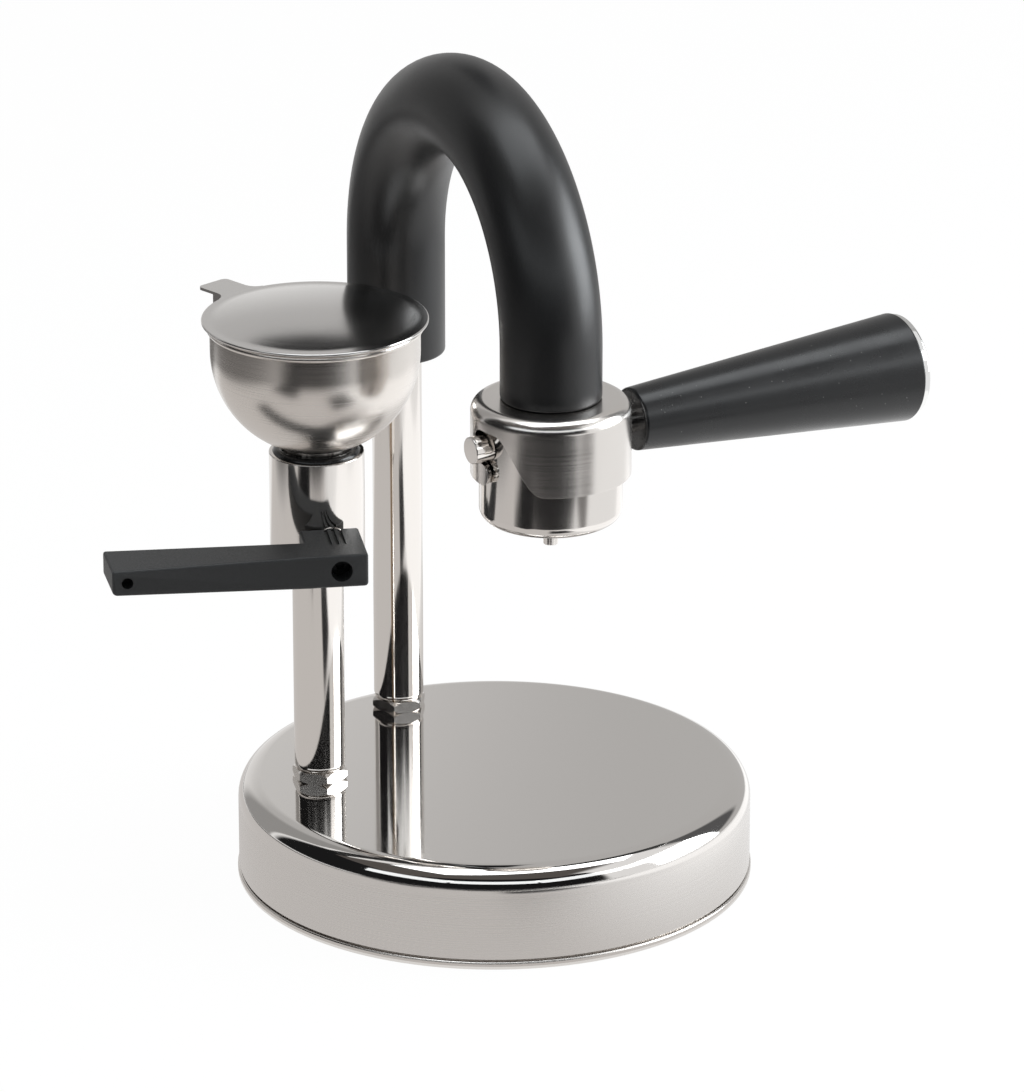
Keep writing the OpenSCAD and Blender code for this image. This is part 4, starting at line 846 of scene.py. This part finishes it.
card("left_floor_card", "#d8d5d3", (-430, 120), (-250, 1500), (1,), (0.2, 0.03))
card("left_outer_flag", "#6f6d6c", (-1500, -330), (-400, 1500), (1.1,), (0.06, 0.05))
card("front_near_flag", "#343435", (0, 105), (120, 240), (1.5,), (0.2, 0.15))
card("left_near_flag", "#1e1e1f", (-290, -115), (200, 350), (1.4,), (0.15, 0.15))
card("right_mid_flag", "#7c7a79", (235, 420), (215, 400), (1.4,), (0.15, 0.15))
card("back_left_flag", "#6f6d6c", (-800, -130), (-495, -290), (1.3,), (0.12, 0.25))
card("front_far_flag", "#1e1e1f", (-340, 320), (315, 1500), (1.6,), (0.1, 0.02))
card("right_floor_card", "#ffffff", (90, 300), (-300, 250), (1.2,), (0.1, 0.1), strength=1.3)
card("back_panel", "#ffffff", (-1300, 1300), (-500,), (0, 1400), (0.1, 0.01),
     ramp=((0, "#f6f5f4"), (0.11, "#ebeae9"), (0.18, "#dcdbda"), (0.26, "#c6c5c4"), (1, "#bdbcbb")))
card("back_right_card", "#c6c5c4", (-110, 1300), (-490,), (0, 1400), (0.12, 0.01))
card("back_right_flag", "#606061", (480, 1320), (-485,), (100, 1150), (0.15, 0.1))
card("back_left_card", "#a3a2a1", (-1320, -300), (-490,), (0, 1400), (0.15, 0.01))
card("back_flag", "#222223", (-150, 40), (-350,), (425, 800), (0.12, 0.04))
card("front_panel", "#1b1b1c", (-1500, 1100), (900,), (0, 1400), (0.05, 0.02))
card("left_panel", "#1f1f20", (-1000,), (-350, 900), (30, 1300), (0.08, 0.03))
card("ceiling_flag", "#5f5b58", (-1500, 700), (-60, 900), (1000,), (0.08, 0.06))

# Light
# A wide soft box overhead, a large square one at the right, and four faint low strips in front.
# The strips give the boiler's rounded edge its line of light; the room itself is a soft white.
LAMP_COLOUR = (0.93, 0.97, 1)
ROOM_LIGHT, ROOM_SEEN = 0.5, 1
STRIP_TURNS, STRIP_FAR, STRIP_HIGH, STRIP_AIM = (-40, 0, 40, 80), 850, 545, 28


def lamp(name, centre, target, wide, high, radiance):
    """A soft box in mm that shows as bright as radiance, where 1 is white."""
    data = bpy.data.lights.new(name, "AREA")
    data.shape = "RECTANGLE"
    data.size, data.size_y = wide * MM, high * MM
    data.energy = radiance * math.pi * data.size * data.size_y
    data.color = LAMP_COLOUR
    piece = bpy.data.objects.new(name, data)
    piece.location = centre * MM
    piece.rotation_euler = (target - centre).to_track_quat("-Z", "Y").to_euler()
    bpy.context.scene.collection.objects.link(piece)


under_box = RIGHT * 90 + FRONT * 25
lamp("overhead_box", under_box + UP * 950, under_box, wide=980, high=430, radiance=3.1)
lamp("right_box", RIGHT * 1400 - FRONT * 100 + UP * 580, UP * 300, wide=1060, high=1060, radiance=7)
for around in STRIP_TURNS:
    way = FRONT * math.cos(math.radians(around)) + RIGHT * math.sin(math.radians(around))
    lamp("front_strip", way * STRIP_FAR + UP * STRIP_HIGH, UP * STRIP_AIM,
         wide=620, high=210, radiance=1.4)
world = bpy.data.worlds.new("white_studio")
bpy.context.scene.world = world
world.use_nodes = True
tree = world.node_tree
tree.nodes.clear()
level = vary(tree, seen_ray(tree), ROOM_LIGHT, ROOM_SEEN, (0, 1))
air = add(tree, "ShaderNodeBackground", {"Color": WHITE, "Strength": level})
add(tree, "ShaderNodeOutputWorld", {"Surface": air.outputs[0]})

# Camera
# A long lens from about 1.8 m, a little to the left of the neck's plane and 21 degrees above level.
AIM = Vector((0, 0, 93.5)) + RIGHT * 4.83
ELEVATION = math.radians(20.89)
DISTANCE, LENS, SENSOR, FAR_LIMIT = 1798, 219.7, 36, 20
back = FRONT * math.cos(ELEVATION) + UP * math.sin(ELEVATION)
camera_data = bpy.data.cameras.new("camera")
camera_data.lens = LENS
camera_data.sensor_width = SENSOR
camera_data.clip_end = FAR_LIMIT
camera = bpy.data.objects.new("camera", camera_data)
bpy.context.scene.collection.objects.link(camera)
camera.location = (AIM + back * DISTANCE) * MM
camera.rotation_euler = (-back).to_track_quat("-Z", "Y").to_euler()
bpy.context.scene.camera = camera
bpy.context.scene.view_settings.view_transform = "Standard"
